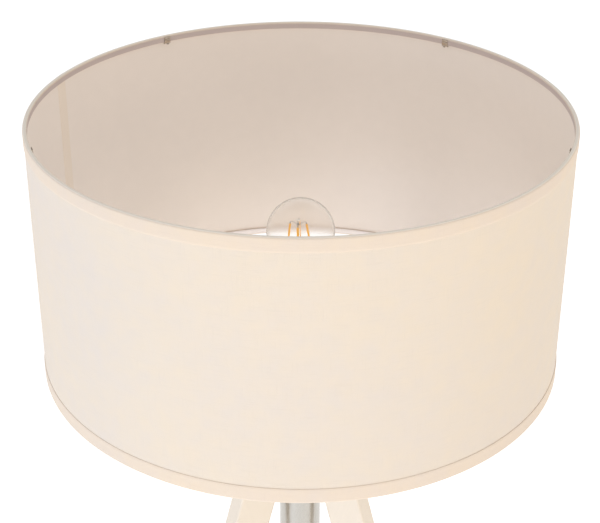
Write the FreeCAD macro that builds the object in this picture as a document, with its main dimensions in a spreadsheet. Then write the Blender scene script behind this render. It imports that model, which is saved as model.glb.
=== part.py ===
import FreeCAD, Part
import math
import os
import re

import Sketcher

# A tripod floor lamp. The origin is on the floor under the lamp's axis, +Z is up, and the
# back leg points along +Y. A "drop" is a distance below the top of the shade.

DIMENSIONS = (
    ("lamp_height", 1400.0, "floor to the top of the shade"),
    ("shade_radius", 225.0, "outside of the shade's hems"),
    ("shade_height", 226.0, "top hem to bottom hem"),
    ("fabric_wall", 0.7, "woven cover of the shade"),
    ("liner_wall", 0.5, "plastic sheet behind the cover"),
    ("hem_wall", 0.6, "folded tape of the hems"),
    ("top_band", 12.0, "height of the top hem outside"),
    ("bottom_band", 13.4, "height of the bottom hem outside"),
    ("hoop_height", 4.8, "flat wire of the shade's two rings, height"),
    ("hoop_wall", 1.6, "flat wire of the shade's two rings, thickness"),
    ("seam_width", 12.0, "overlap of the liner's two ends"),
    ("clip_width", 6.4, "rim clip, along the rim"),
    ("clip_wall", 0.5, "rim clip, sheet thickness"),
    ("clip_drop", 8.0, "rim clip, lowest point below the rim"),
    ("clip_start", 1.4, "rim clip, highest point below the rim"),
    ("clip_reach", 1.8, "rim clip, foot under the bead"),
    ("hem_round", 0.5, "bead of the hems, outer corners"),
    ("fitter_drop", 179.0, "top of the shade's fitter ring"),
    ("fitter_wall", 2.0, "fitter ring thickness"),
    ("fitter_bore", 21.0, "fitter ring, radius of its hole"),
    ("fitter_rim", 29.0, "fitter ring, outer radius"),
    ("arm_radius", 2.0, "section of the arms that carry the shade"),
    ("arm_shelf", 12.0, "level stretch of an arm beside the fitter ring"),
    ("bulb_radius", 29.5, "bulb, its widest"),
    ("bulb_drop", 111.0, "centre of the bulb's dome"),
    ("bulb_neck", 14.0, "bulb, radius of its neck"),
    ("bulb_flare", 47.0, "dome centre down to the straight neck"),
    ("glass_wall", 0.8, "bulb glass thickness"),
    ("thread_radius", 13.1, "bulb cap, outside of its thread"),
    ("cap_wall", 0.4, "bulb cap, sheet thickness"),
    ("contact_drop", 187.5, "underside of the bulb's centre contact"),
    ("filament_drop", 102.0, "upper ends of the filaments"),
    ("filament_length", 32.0, "filament, end to end"),
    ("filament_radius", 0.9, "filament section"),
    ("filament_top", 7.0, "filament's upper end from the axis"),
    ("filament_foot", 11.0, "filament's lower end from the axis"),
    ("support_radius", 0.25, "section of the filament support wires"),
    ("holder_radius", 19.6, "lampholder, outside of its threaded sleeve"),
    ("holder_drop", 162.0, "top of the lampholder"),
    ("sleeve_length", 45.0, "lampholder's threaded sleeve"),
    ("holder_foot", 20.0, "height of the cup under the sleeve"),
    ("holder_wall", 2.0, "lampholder wall"),
    ("collar_gap", 0.3, "between the sleeve and the rings around it"),
    ("collar_radius", 28.5, "flange of the support and lock rings"),
    ("support_height", 5.0, "ring under the fitter ring"),
    ("lock_height", 7.0, "ring that clamps the fitter ring"),
    ("nipple_radius", 5.0, "threaded tube between column and lampholder"),
    ("nipple_bore", 3.5, "cable way through the threaded tube"),
    ("tube_radius", 19.0, "column, outside"),
    ("tube_wall", 1.5, "column wall"),
    ("tube_drop", 232.0, "top of the column"),
    ("tube_length", 250.0, "column, end to end"),
    ("end_plate", 4.0, "flange of the column's end caps"),
    ("spigot_length", 10.0, "end cap's plug inside the column"),
    ("fit_gap", 0.1, "between the plugs and hubs and the column's bore"),
    ("leg_width", 37.5, "leg, across its wide face"),
    ("leg_thickness", 18.0, "leg, edge thickness"),
    ("leg_tilt", 16.3, "leg, degrees from upright"),
    ("leg_offset", 57.2, "leg's centreline from the axis, at leg_level"),
    ("leg_level", 404.0, "drop at which leg_offset is given"),
    ("leg_drop", 244.0, "top of the legs"),
    ("leg_tuck", 15.0, "inner limit of the leg before it is scooped to the column"),
    ("edge_round", 2.0, "rounding along the legs' long edges"),
    ("pad_height", 3.0, "foot pad thickness"),
    ("pad_margin", 2.5, "foot pad, inside the leg's end on every side"),
    ("pad_round", 3.0, "foot pad, corner radius"),
    ("upper_drop", 270.0, "upper row of leg bolts"),
    ("lower_drop", 318.0, "lower row of leg bolts"),
    ("upper_seat", 27.0, "upper counterbore's floor from the axis"),
    ("lower_seat", 37.0, "lower counterbore's floor from the axis"),
    ("bolt_radius", 3.0, "bolt shank"),
    ("bolt_head", 5.0, "bolt head, radius"),
    ("head_height", 6.0, "bolt head, height"),
    ("key_radius", 2.5, "round recess for the key in the bolt head"),
    ("bolt_end", 8.0, "bolt's tip from the axis"),
    ("bolt_play", 0.3, "clearance around the shank in leg and column"),
    ("tap_gap", 0.05, "between the shank and the hub's tapped hole"),
    ("washer_radius", 6.0, "bolt washer, outer radius"),
    ("washer_wall", 1.0, "bolt washer thickness"),
    ("hub_height", 20.0, "threaded hubs inside the column"),
    ("hub_bore", 6.0, "cable way through the hubs"),
    ("gland_bore", 3.6, "cable bush, radius of its hole"),
    ("gland_radius", 6.0, "cable bush, neck in the end cap"),
    ("gland_rim", 9.0, "cable bush, flange radius"),
    ("gland_plate", 3.0, "cable bush, flange thickness"),
    ("slip", 0.05, "between parts that touch without a fit"),
    ("nipple_under", 6.0, "nipple, length below the upper cap"),
    ("nipple_over", 9.0, "nipple, length above the upper cap"),
    ("nut_radius", 7.0, "nipple nut, half its width across flats"),
    ("skirt_step", 1.0, "holder's cup, less than the sleeve in radius"),
    ("cup_floor", 13.95, "holder's cup, radius of its floor"),
    ("cup_cone", 8.0, "holder's cup, height of its cone"),
    ("lip_gap", 1.9, "holder's lip, clear of the bulb's thread"),
    ("lip_height", 3.0, "holder's lip"),
    ("contact_rise", 5.5, "bulb's contact over the core"),
    ("terminal_rise", 4.0, "terminal screws above the sleeve's foot"),
    ("terminal_start", 5.0, "terminal screw, its tip from the axis"),
    ("terminal_seat", 12.0, "terminal screw, under its head"),
    ("terminal_end", 15.0, "terminal screw, top of its head"),
    ("terminal_radius", 1.5, "terminal screw, thread"),
    ("terminal_head", 2.6, "terminal screw, head"),
    ("terminal_well", 2.9, "hole in the core for the head"),
    ("shell_gap", 0.4, "thread shell outside the bulb's thread"),
    ("shell_floor", 2.5, "thread shell, flange on the core"),
    ("shell_drop", 3.5, "thread shell below the holder's top"),
    ("tongue_width", 5.0, "contact tongue"),
    ("tongue_wall", 0.5, "contact tongue, sheet"),
    ("tongue_foot", 9.0, "contact tongue, foot's far end"),
    ("tongue_heel", 4.5, "contact tongue, foot's near end"),
    ("tongue_tip", 3.5, "contact tongue, bent tip"),
    ("collar_wall", 3.0, "support ring, wall"),
    ("lock_wall", 4.0, "lock ring, wall"),
    ("flange_wall", 2.0, "flange of both rings"),
    ("notch_depth", 1.5, "grip notch of the lock ring"),
    ("notch_radius", 1.5, "grip notch of the lock ring, radius"),
    ("cap_mouth", 9.0, "screw cap, radius at its lower end"),
    ("cap_rise", 5.0, "screw cap above the contact"),
    ("cap_taper", 1.5, "screw cap, taper below the thread"),
    ("cap_top", 2.0, "screw cap's thread below the holder's top"),
    ("cuff_gap", 0.1, "screw cap's cuff outside the glass"),
    ("cuff_rise", 3.0, "screw cap's cuff above the holder"),
    ("cuff_step", 0.8, "slope from the thread to the cuff"),
    ("pin_radius", 4.6, "bulb's contact"),
    ("pin_height", 1.0, "bulb's contact"),
    ("cone_radius", 4.8, "black insulator at the contact"),
    ("cone_top", 0.5, "black insulator below the cap"),
    ("board_rise", 2.5, "driver board above the cap's lower end"),
    ("board_drop", 2.0, "driver board below the thread's top"),
    ("board_wall", 1.2, "driver board thickness"),
    ("glass_foot", 1.0, "glass below the holder's top"),
    ("stem_foot", 9.0, "stem, radius of its flare"),
    ("stem_rim", 1.2, "stem, height of its flare's edge"),
    ("stem_neck", 4.0, "stem, radius above the flare"),
    ("stem_flare", 7.0, "stem, height of its flare"),
    ("stem_shoulder", 3.2, "stem, radius under the shoulder"),
    ("stem_rod", 1.3, "stem, rod above the shoulder"),
    ("stem_point", 1.1, "stem, radius at its top"),
    ("stem_slope", 5.0, "stem, height of its shoulder's slope"),
    ("stem_rise", 3.0, "stem above the filaments"),
    ("stem_drop", 4.0, "stem's shoulder below the filaments"),
    ("wire_gap", 0.15, "between a filament and its wires"),
    ("wire_step", 1.5, "wires' roots beyond the filaments' ends"),
    ("wire_hub", 1.6, "upper wires, root from the axis"),
    ("wire_root", 3.8, "lower wires, root from the axis"),
)
CORE_TERMINALS = (0.0, 180.0)
NOTCH_COUNT = 12
LEG_AZIMUTHS = {"back": 90.0, "left": 210.0, "right": 330.0}
ARM_AZIMUTHS = {"right": 30.0, "left": 150.0, "front": 270.0}
CLIP_AZIMUTHS = (52.9, 124.4, 199.5, 269.0, 340.9)
SEAM_AZIMUTH = 159.0
FILAMENT_COUNT = 4
FIRST_FILAMENT_AZIMUTH = -4.0
SHEET_NAME = "Dimensions"

doc = FreeCAD.newDocument("tripod_floor_lamp")
nodes = []


# ---------------------------------------------------------------- the sheet and its cells


def write_sheet():
    """The driving dimensions, one row each: name, value with its alias, meaning."""
    made = doc.addObject("Spreadsheet::Sheet", SHEET_NAME)
    for row, (alias, number, meaning) in enumerate(DIMENSIONS, start=1):
        made.set(f"A{row}", alias)
        made.set(f"B{row}", str(number))
        made.set(f"C{row}", meaning)
        made.setAlias(f"B{row}", alias)
    doc.recompute()
    return made


def cells(text):
    """The expression text with each alias in it written as a reference to the sheet."""
    aliases = {alias for alias, _, _ in DIMENSIONS}
    return re.sub(
        r"[a-z_]+",
        lambda word: f"{SHEET_NAME}.{word[0]}" if word[0] in aliases else word[0],
        text,
    )


def size(alias):
    """A cell's number, for what an expression can't reach."""
    return float(sheet.get(alias))


def bind(thing, **sizes):
    """Each named property of an object follows an expression of the cells."""
    for name, text in sizes.items():
        thing.setExpression(name.replace("__", "."), cells(text))


def drop(text):
    """The height of something given by how far it lies below the top of the shade."""
    return f"lamp_height - ({text})"


def node(label, thing):
    """Names a finished sub-part; the label is also its file's name."""
    thing.Label = label
    nodes.append(thing)
    return thing


def turn_to(azimuth):
    """A turn about the lamp's axis, azimuth 0 along +X and 90 along +Y."""
    return FreeCAD.Rotation(FreeCAD.Vector(0, 0, 1), azimuth)


# ---------------------------------------------------------------- sketches and features


def origin_plane(body, role):
    return next(item for item in body.Origin.OriginFeatures if item.Role == role)


def place_corner(sketch, corner, direction, text):
    """Holds one coordinate of a corner at an expression of the cells."""
    if text == "0":
        axis = -2 if direction == "X" else -1
        sketch.addConstraint(Sketcher.Constraint("PointOnObject", corner, 1, axis))
        return
    rule = Sketcher.Constraint(f"Distance{direction}", -1, 1, corner, 1, 10.0)
    index = sketch.addConstraint(rule)
    sketch.setExpression(f"Constraints[{index}]", cells(text))


def outline(body, plane, corners):
    """A closed sketch of straight sides; each corner is two expressions, across and up."""
    sketch = body.newObject("Sketcher::SketchObject", "outline")
    sketch.AttachmentSupport = (origin_plane(body, plane), [""])
    sketch.MapMode = "FlatFace"
    count = len(corners)
    steps = [2 * math.pi * k / count for k in range(count)]
    ring = [FreeCAD.Vector(20 + 10 * math.cos(a), 10 * math.sin(a), 0) for a in steps]
    sides = [Part.LineSegment(ring[k], ring[(k + 1) % count]) for k in range(count)]
    sketch.addGeometry(sides, False)
    joints = [
        Sketcher.Constraint("Coincident", k, 2, (k + 1) % count, 1) for k in range(count)
    ]
    sketch.addConstraint(joints)
    for corner, (across, up) in enumerate(corners):
        place_corner(sketch, corner, "X", across)
        place_corner(sketch, corner, "Y", up)
    sketch.Visibility = False
    return sketch


def spin(body, corners, sweep=None):
    """Adds a (radius, height) outline turned about the Z axis, all round or by sweep."""
    feature = body.newObject("PartDesign::Revolution", "turning")
    feature.Profile = outline(body, "XZ_Plane", corners)
    feature.ReferenceAxis = (feature.Profile[0], ["V_Axis"])
    feature.Angle = 360.0
    if sweep:
        feature.Midplane = True
        bind(feature, Angle=sweep)
    return feature


def turned(name, corners):
    """A turned piece, from its (radius, height) outline."""
    body = doc.addObject("PartDesign::Body", name)
    spin(body, corners)
    return body


def ring_corners(inner, outer, low, high):
    return [(inner, low), (outer, low), (outer, high), (inner, high)]


def ring(name, inner, outer, low, high):
    """A plain turned ring, tube or disc."""
    return turned(name, ring_corners(inner, outer, low, high))


def plate(name, corners, thickness, plane="XZ_Plane"):
    """A flat piece: an outline made thick evenly on both sides of its plane."""
    body = doc.addObject("PartDesign::Body", name)
    feature = body.newObject("PartDesign::Pad", "sheet")
    feature.Profile = outline(body, plane, corners)
    feature.Midplane = True
    bind(feature, Length=thickness)
    return body


def radial_hole(body, level, steps):
    """A stepped round hole along +X; steps are (from, to, radius), nearest first."""
    corners = [(steps[0][0], level)]
    for start, end, radius in steps:
        corners.append((start, f"{level} + {radius}"))
        corners.append((end, f"{level} + {radius}"))
    corners.append((steps[-1][1], level))
    feature = body.newObject("PartDesign::Groove", "hole")
    feature.Profile = outline(body, "XZ_Plane", corners)
    feature.ReferenceAxis = (feature.Profile[0], [f"Edge{len(corners)}"])
    feature.Angle = 360.0
    return feature


def around(body, features, count):
    """Repeats features evenly about the Z axis."""
    pattern = body.newObject("PartDesign::PolarPattern", "around")
    pattern.Originals = features
    pattern.Axis = (origin_plane(body, "Z_Axis"), [""])
    pattern.Angle = 360.0
    pattern.Occurrences = count
    body.Tip = pattern
    return pattern


def round_edges(body, radius, wanted):
    """Rounds the edges of a body whose middle point passes the test."""
    doc.recompute()
    base = body.Tip
    names = [
        f"Edge{k}"
        for k, edge in enumerate(base.Shape.Edges, start=1)
        if wanted(edge.valueAt((edge.FirstParameter + edge.LastParameter) / 2), edge)
    ]
    feature = body.newObject("PartDesign::Fillet", "rounding")
    feature.Base = (base, names)
    bind(feature, Radius=radius)
    return feature


def group(name, members):
    """Identical pieces kept as separate solids under one name."""
    made = doc.addObject("Part::Compound", name)
    made.Links = members
    return node(name, made)


def rod(name, start, end, radius):
    """A straight round rod between two points."""
    made = doc.addObject("Part::Cylinder", name)
    along = end - start
    made.Height = along.Length
    bind(made, Radius=radius)
    made.Placement = FreeCAD.Placement(
        start, FreeCAD.Rotation(FreeCAD.Vector(0, 0, 1), along)
    )
    return made


def polar(radius, azimuth, height):
    angle = math.radians(azimuth)
    return FreeCAD.Vector(radius * math.cos(angle), radius * math.sin(angle), height)


# ---------------------------------------------------------------- legs and column


def leg_edge(side, level):
    """The leg's inner (-) or outer (+) edge, from the axis, at a height."""
    middle = f"leg_offset + ({drop('leg_level')} - ({level})) * tan(leg_tilt)"
    return f"{middle} {side} leg_width / 2 / cos(leg_tilt)"


def make_leg(side, azimuth):
    """A flat board, cut level at the floor and the top and scooped to fit the column."""
    top = drop("leg_drop")
    meet = f"{drop('leg_level')} + (leg_offset - leg_width / 2 / cos(leg_tilt) - leg_tuck)"
    meet += " / tan(leg_tilt)"
    corners = [
        (leg_edge("-", "pad_height"), "pad_height"),
        (leg_edge("+", "pad_height"), "pad_height"),
        (leg_edge("+", top), top),
        ("leg_tuck", top),
        ("leg_tuck", meet),
    ]
    body = plate(f"leg_{side}", corners, "leg_thickness")
    half = size("leg_thickness") / 2
    long_edge = size("leg_width") * 2
    round_edges(
        body,
        "edge_round",
        lambda mid, edge: abs(abs(mid.y) - half) < 0.01
        and edge.Length > long_edge
        and mid.x > size("tube_radius"),
    )
    scoop = body.newObject("PartDesign::Groove", "scoop")
    corners = ring_corners("0", "tube_radius", "lamp_height / 2", "lamp_height")
    scoop.Profile = outline(body, "XZ_Plane", corners)
    scoop.ReferenceAxis = (scoop.Profile[0], ["V_Axis"])
    scoop.Angle = 360.0
    for row in ("upper", "lower"):
        seat = f"{row}_seat"
        steps = [
            ("leg_tuck", seat, "(bolt_radius + bolt_play)"),
            (seat, f"{seat} + 40", "(washer_radius + bolt_play)"),
        ]
        radial_hole(body, drop(f"{row}_drop"), steps)
    body.Placement.Rotation = turn_to(azimuth)
    return node(f"leg_{side}", body)


def make_foot_pad(side, azimuth):
    """A thin block under the leg's foot."""
    inner = f"{leg_edge('-', 'pad_height')} + pad_margin"
    outer = f"{leg_edge('+', 'pad_height')} - pad_margin"
    half = "(leg_thickness / 2 - pad_margin)"
    body = doc.addObject("PartDesign::Body", f"foot_pad_{side}")
    feature = body.newObject("PartDesign::Pad", "block")
    corners = ring_corners(inner, outer, f"-{half}", half)
    feature.Profile = outline(body, "XY_Plane", corners)
    bind(feature, Length="pad_height")
    height = size("pad_height")
    round_edges(
        body, "pad_round", lambda mid, edge: abs(mid.z - height / 2) < 0.01
    )
    body.Placement.Rotation = turn_to(azimuth)
    return node(f"foot_pad_{side}", body)


def make_column():
    """The column tube, drilled for two rows of leg bolts."""
    low = drop("tube_drop + tube_length")
    bore = "tube_radius - tube_wall"
    body = ring("column_tube", bore, "tube_radius", low, drop("tube_drop"))
    holes = [
        radial_hole(
            body,
            drop(f"{row}_drop"),
            [("tube_radius / 2", "tube_radius + 5", "(bolt_radius + bolt_play)")],
        )
        for row in ("upper", "lower")
    ]
    around(body, holes, len(LEG_AZIMUTHS))
    body.Placement.Rotation = turn_to(LEG_AZIMUTHS["back"])
    return node("column_tube", body)


def make_hub(row):
    """A threaded plug inside the column that one row of leg bolts screws into."""
    level = drop(f"{row}_drop")
    rim = "tube_radius - tube_wall - fit_gap"
    low = f"{level} - hub_height / 2"
    high = f"{level} + hub_height / 2"
    body = ring(f"{row}_hub", "hub_bore", rim, low, high)
    steps = [("0.5 * hub_bore", "tube_radius", "(bolt_radius + tap_gap)")]
    around(body, [radial_hole(body, level, steps)], len(LEG_AZIMUTHS))
    body.Placement.Rotation = turn_to(LEG_AZIMUTHS["back"])
    return node(f"{row}_hub", body)


def aim_outwards(body, azimuth, level):
    """Lays a turned piece's axis along a radius of the lamp at a height."""
    tip_over = FreeCAD.Rotation(FreeCAD.Vector(0, 1, 0), 90)
    body.Placement.Rotation = turn_to(azimuth).multiply(tip_over)
    bind(body, Placement__Base__z=level)


def make_bolt_row(row):
    """Three bolts and three washers that hold the legs at one level."""
    seat = f"{row}_seat + washer_wall"
    bolts = []
    washers = []
    for side, azimuth in LEG_AZIMUTHS.items():
        corners = [
            ("0", "bolt_end"),
            ("bolt_radius", "bolt_end"),
            ("bolt_radius", seat),
            ("bolt_head", seat),
            ("bolt_head", f"{seat} + head_height"),
            ("key_radius", f"{seat} + head_height"),
            ("key_radius", f"{seat} + head_height / 2"),
            ("0", f"{seat} + head_height / 2"),
        ]
        bolt = turned(f"{row}_bolt_{side}", corners)
        washer = ring(
            f"{row}_washer_{side}",
            "bolt_radius + bolt_play / 2",
            "washer_radius",
            f"{row}_seat",
            seat,
        )
        for piece in (bolt, washer):
            aim_outwards(piece, azimuth, drop(f"{row}_drop"))
        bolts.append(bolt)
        washers.append(washer)
    group(f"{row}_leg_bolts", bolts)
    group(f"{row}_bolt_washers", washers)


def make_end_caps():
    """The plates that close the column; the lower one carries the cable's bush."""
    rim = "tube_radius - tube_wall - fit_gap"
    top = drop("tube_drop")
    corners = [
        ("nipple_radius + tap_gap", f"{top} - spigot_length"),
        (rim, f"{top} - spigot_length"),
        (rim, top),
        ("tube_radius", top),
        ("tube_radius", f"{top} + end_plate"),
        ("nipple_radius + tap_gap", f"{top} + end_plate"),
    ]
    node("column_top_cap", turned("column_top_cap", corners))
    low = drop("tube_drop + tube_length")
    corners = [
        ("gland_radius + tap_gap", f"{low} + spigot_length"),
        (rim, f"{low} + spigot_length"),
        (rim, low),
        ("tube_radius", low),
        ("tube_radius", f"{low} - end_plate"),
        ("gland_radius + tap_gap", f"{low} - end_plate"),
    ]
    node("column_bottom_cap", turned("column_bottom_cap", corners))
    plate_low = f"{low} - end_plate"
    corners = [
        ("gland_bore", f"{plate_low} - gland_plate"),
        ("gland_rim", f"{plate_low} - gland_plate"),
        ("gland_rim", plate_low),
        ("gland_radius", plate_low),
        ("gland_radius", f"{low} + spigot_length"),
        ("gland_bore", f"{low} + spigot_length"),
    ]
    node("cable_bush", turned("cable_bush", corners))


def make_nipple():
    """The threaded tube that joins column and lampholder, and the nut under the cap."""
    cap_low = f"{drop('tube_drop')} - spigot_length"
    body = ring(
        "threaded_nipple",
        "nipple_bore",
        "nipple_radius",
        f"{cap_low} - nipple_under",
        f"{drop('tube_drop')} + end_plate + nipple_over",
    )
    node("threaded_nipple", body)
    tip = "nut_radius / cos(30)"
    half = f"{tip} / 2"
    corners = [
        (tip, "0"),
        (half, "nut_radius"),
        (f"-{half}", "nut_radius"),
        (f"-{tip}", "0"),
        (f"-{half}", "-nut_radius"),
        (half, "-nut_radius"),
    ]
    nut = doc.addObject("PartDesign::Body", "nipple_nut")
    block = nut.newObject("PartDesign::Pad", "block")
    block.Profile = outline(nut, "XY_Plane", corners)
    bind(block, Length="end_plate")
    bore = nut.newObject("PartDesign::Groove", "bore")
    corners = ring_corners("0", "nipple_radius + tap_gap", "-1", "end_plate + 1")
    bore.Profile = outline(nut, "XZ_Plane", corners)
    bore.ReferenceAxis = (bore.Profile[0], ["V_Axis"])
    bore.Angle = 360.0
    bind(nut, Placement__Base__z=f"{cap_low} - end_plate")
    node("nipple_nut", nut)


# ---------------------------------------------------------------- lampholder


HOLDER_TOP = drop("holder_drop")
SLEEVE_LOW = f"{HOLDER_TOP} - sleeve_length"
HOLDER_LOW = f"{SLEEVE_LOW} - holder_foot"
FITTER_TOP = drop("fitter_drop")
FITTER_LOW = f"{FITTER_TOP} - fitter_wall"
CONTACT_LOW = drop("contact_drop")
CORE_TOP = f"{CONTACT_LOW} - contact_rise"


def make_holder():
    """The lampholder: cup, threaded sleeve, insulating core and the metal inside it."""
    skirt = "holder_radius - skirt_step"
    cone = f"{HOLDER_LOW} + cup_cone"
    corners = [
        ("nipple_radius + tap_gap", HOLDER_LOW),
        ("cup_floor", HOLDER_LOW),
        (skirt, cone),
        (skirt, SLEEVE_LOW),
        (f"{skirt} - holder_wall", SLEEVE_LOW),
        (f"{skirt} - holder_wall", cone),
        ("nipple_radius + tap_gap", cone),
    ]
    node("holder_cup", turned("holder_cup", corners))
    bore = "holder_radius - holder_wall"
    lip = "thread_radius + lip_gap"
    corners = [
        (bore, SLEEVE_LOW),
        ("holder_radius", SLEEVE_LOW),
        ("holder_radius", HOLDER_TOP),
        (lip, HOLDER_TOP),
        (lip, f"{HOLDER_TOP} - lip_height"),
        (bore, f"{HOLDER_TOP} - lip_height"),
    ]
    node("holder_sleeve", turned("holder_sleeve", corners))
    core_rim = f"{skirt} - holder_wall - fit_gap"
    core_low = f"{SLEEVE_LOW} - cup_cone"
    core = ring("holder_core", "nipple_bore", core_rim, core_low, CORE_TOP)
    terminal = f"{SLEEVE_LOW} + terminal_rise"
    steps = [
        ("terminal_start", "terminal_seat", "terminal_radius + slip"),
        ("terminal_seat", "holder_radius", "terminal_well"),
    ]
    around(core, [radial_hole(core, terminal, steps)], len(CORE_TERMINALS))
    node("holder_core", core)
    screws = []
    for azimuth in CORE_TERMINALS:
        corners = [
            ("0", "terminal_start"),
            ("terminal_radius", "terminal_start"),
            ("terminal_radius", "terminal_seat"),
            ("terminal_head", "terminal_seat"),
            ("terminal_head", "terminal_end"),
            ("0", "terminal_end"),
        ]
        screw = turned(f"terminal_screw_{int(azimuth)}", corners)
        aim_outwards(screw, azimuth, terminal)
        screws.append(screw)
    group("terminal_screws", screws)
    shell = "thread_radius + shell_gap"
    corners = [
        (f"{shell} - shell_floor", CORE_TOP),
        (f"{shell} + cap_wall", CORE_TOP),
        (f"{shell} + cap_wall", f"{HOLDER_TOP} - shell_drop"),
        (shell, f"{HOLDER_TOP} - shell_drop"),
        (shell, f"{CORE_TOP} + cap_wall"),
        (f"{shell} - shell_floor", f"{CORE_TOP} + cap_wall"),
    ]
    node("holder_thread_shell", turned("holder_thread_shell", corners))
    foot_top = f"{CORE_TOP} + tongue_wall"
    tip_low = f"{CONTACT_LOW} - 3 * tongue_wall"
    tongue = [
        ("-tongue_foot", CORE_TOP),
        ("-tongue_heel", CORE_TOP),
        ("-tongue_heel", foot_top),
        ("tongue_wall", f"{CONTACT_LOW} - tongue_wall"),
        ("tongue_tip", tip_low),
        ("tongue_tip", f"{tip_low} + tongue_wall"),
        ("tongue_wall", CONTACT_LOW),
        ("-tongue_wall", CONTACT_LOW),
        ("-tongue_heel - 2 * tongue_wall", foot_top),
        ("-tongue_foot", foot_top),
    ]
    node("centre_contact", plate("centre_contact", tongue, "tongue_width"))


def make_collars():
    """The ring the shade rests on and the ring that clamps it down."""
    bore = "holder_radius + collar_gap"
    low = f"{FITTER_LOW} - support_height"
    corners = [
        (bore, low),
        (f"{bore} + collar_wall", low),
        (f"{bore} + collar_wall", f"{FITTER_LOW} - flange_wall"),
        ("collar_radius", f"{FITTER_LOW} - flange_wall"),
        ("collar_radius", FITTER_LOW),
        (bore, FITTER_LOW),
    ]
    node("support_ring", turned("support_ring", corners))
    corners = [
        (bore, FITTER_TOP),
        ("collar_radius", FITTER_TOP),
        ("collar_radius", f"{FITTER_TOP} + flange_wall"),
        (f"{bore} + lock_wall", f"{FITTER_TOP} + flange_wall"),
        (f"{bore} + lock_wall", f"{FITTER_TOP} + lock_height"),
        (bore, f"{FITTER_TOP} + lock_height"),
    ]
    body = turned("lock_ring", corners)
    notch = radial_hole(
        body,
        f"{FITTER_TOP} + lock_height",
        [(f"{bore} + lock_wall - notch_depth", "collar_radius", "notch_radius")],
    )
    around(body, [notch], NOTCH_COUNT)
    node("lock_ring", body)


# ---------------------------------------------------------------- shade


SHADE_TOP = "lamp_height"
SHADE_LOW = "lamp_height - shade_height"
COVER_OUT = "shade_radius - hem_wall"
COVER_IN = f"{COVER_OUT} - fabric_wall"
LINER_IN = f"{COVER_IN} - liner_wall"
BEAD = "(hoop_height + 2 * hem_wall)"
BEAD_IN = f"{LINER_IN} - hoop_wall - hem_wall"


def make_shade_walls():
    """The woven cover and the plastic liner, whose ends overlap in one upright seam."""
    low = f"{SHADE_LOW} + hem_wall"
    high = f"{SHADE_TOP} - hem_wall"
    node("shade_cover", ring("shade_cover", COVER_IN, COVER_OUT, low, high))
    liner = ring("shade_liner", LINER_IN, COVER_IN, low, high)
    lap = ring_corners(
        f"{LINER_IN} - liner_wall",
        f"{LINER_IN} + liner_wall / 2",
        f"{SHADE_LOW} + {BEAD} + 1",
        f"{SHADE_TOP} - {BEAD} - 1",
    )
    spin(liner, lap, sweep="seam_width / shade_radius * 180 / pi")
    liner.Placement.Rotation = turn_to(SEAM_AZIMUTH)
    node("shade_liner", liner)


def make_hem(name, edge, inwards, band):
    """A tape folded over the shade's edge and round the wire ring behind it."""

    def level(text):
        return f"{edge} {inwards} ({text})"

    corners = [
        ("shade_radius", level(band)),
        ("shade_radius", edge),
        (BEAD_IN, edge),
        (BEAD_IN, level(BEAD)),
        (LINER_IN, level(BEAD)),
        (LINER_IN, level(f"{BEAD} - hem_wall")),
        (f"{BEAD_IN} + hem_wall", level(f"{BEAD} - hem_wall")),
        (f"{BEAD_IN} + hem_wall", level("hem_wall")),
        (COVER_OUT, level("hem_wall")),
        (COVER_OUT, level(band)),
    ]
    body = turned(name, corners)
    bead = size("hoop_height") + 2 * size("hem_wall")
    edge_at = size("lamp_height") - (0 if inwards == "-" else size("shade_height"))
    bead_at = size("shade_radius") - size("hem_wall") - size("fabric_wall")
    bead_at -= size("liner_wall") + size("hoop_wall") + size("hem_wall")

    def at_bead(mid, edge):
        flat = abs(mid.z - edge_at)
        at_level = min(flat, abs(flat - bead)) < 0.01
        return at_level and abs(math.hypot(mid.x, mid.y) - bead_at) < 0.01

    round_edges(body, "hem_round", at_bead)
    return node(name, body)


def make_wire_ring(name, low):
    """A ring of flat wire inside a hem."""
    inner = f"{BEAD_IN} + hem_wall + slip"
    high = f"{low} + hoop_height - slip"
    return node(name, ring(name, inner, f"{LINER_IN} - slip", f"{low} + slip", high))


def make_arm(side, azimuth):
    """A wire from the fitter ring, level at first, then down to the bottom ring."""
    body = doc.addObject("PartDesign::Body", f"shade_arm_{side}")
    ring_middle = f"{SHADE_LOW} + hem_wall + hoop_height / 2"
    middle = f"{FITTER_TOP} - fitter_wall / 2"
    corners = [
        ("fitter_rim", f"{middle} - arm_radius"),
        ("fitter_rim + arm_shelf", f"{middle} - arm_radius"),
        (f"{BEAD_IN} - slip / 2", f"{ring_middle} - arm_radius"),
        (f"{BEAD_IN} - slip / 2", f"{ring_middle} + arm_radius"),
        ("fitter_rim + arm_shelf", f"{middle} + arm_radius"),
        ("fitter_rim", f"{middle} + arm_radius"),
    ]
    feature = body.newObject("PartDesign::Pad", "bar")
    feature.Profile = outline(body, "XZ_Plane", corners)
    feature.Midplane = True
    bind(feature, Length="2 * arm_radius")
    half = size("arm_radius")
    round_edges(
        body,
        "arm_radius * 0.9",
        lambda mid, edge: abs(abs(mid.y) - half) < 0.01 and edge.Length > 3 * half,
    )
    body.Placement.Rotation = turn_to(azimuth)
    return node(f"shade_arm_{side}", body)


def make_rim_clips():
    """Small sheet clips on the top bead's inner face, each with a foot under the bead."""
    back = f"{BEAD_IN} - slip"
    front = f"{back} - clip_wall"
    foot = f"{BEAD_IN} + clip_reach"
    low = f"{SHADE_TOP} - clip_drop"
    high = f"{SHADE_TOP} - clip_start"
    corners = [
        (front, low),
        (foot, low),
        (foot, f"{low} + clip_wall"),
        (back, f"{low} + clip_wall"),
        (back, high),
        (front, high),
    ]
    clips = []
    for k, azimuth in enumerate(CLIP_AZIMUTHS):
        clip = plate(f"rim_clip_{k + 1}", corners, "clip_width")
        clip.Placement.Rotation = turn_to(azimuth)
        clips.append(clip)
    group("rim_clips", clips)


# ---------------------------------------------------------------- bulb


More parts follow.
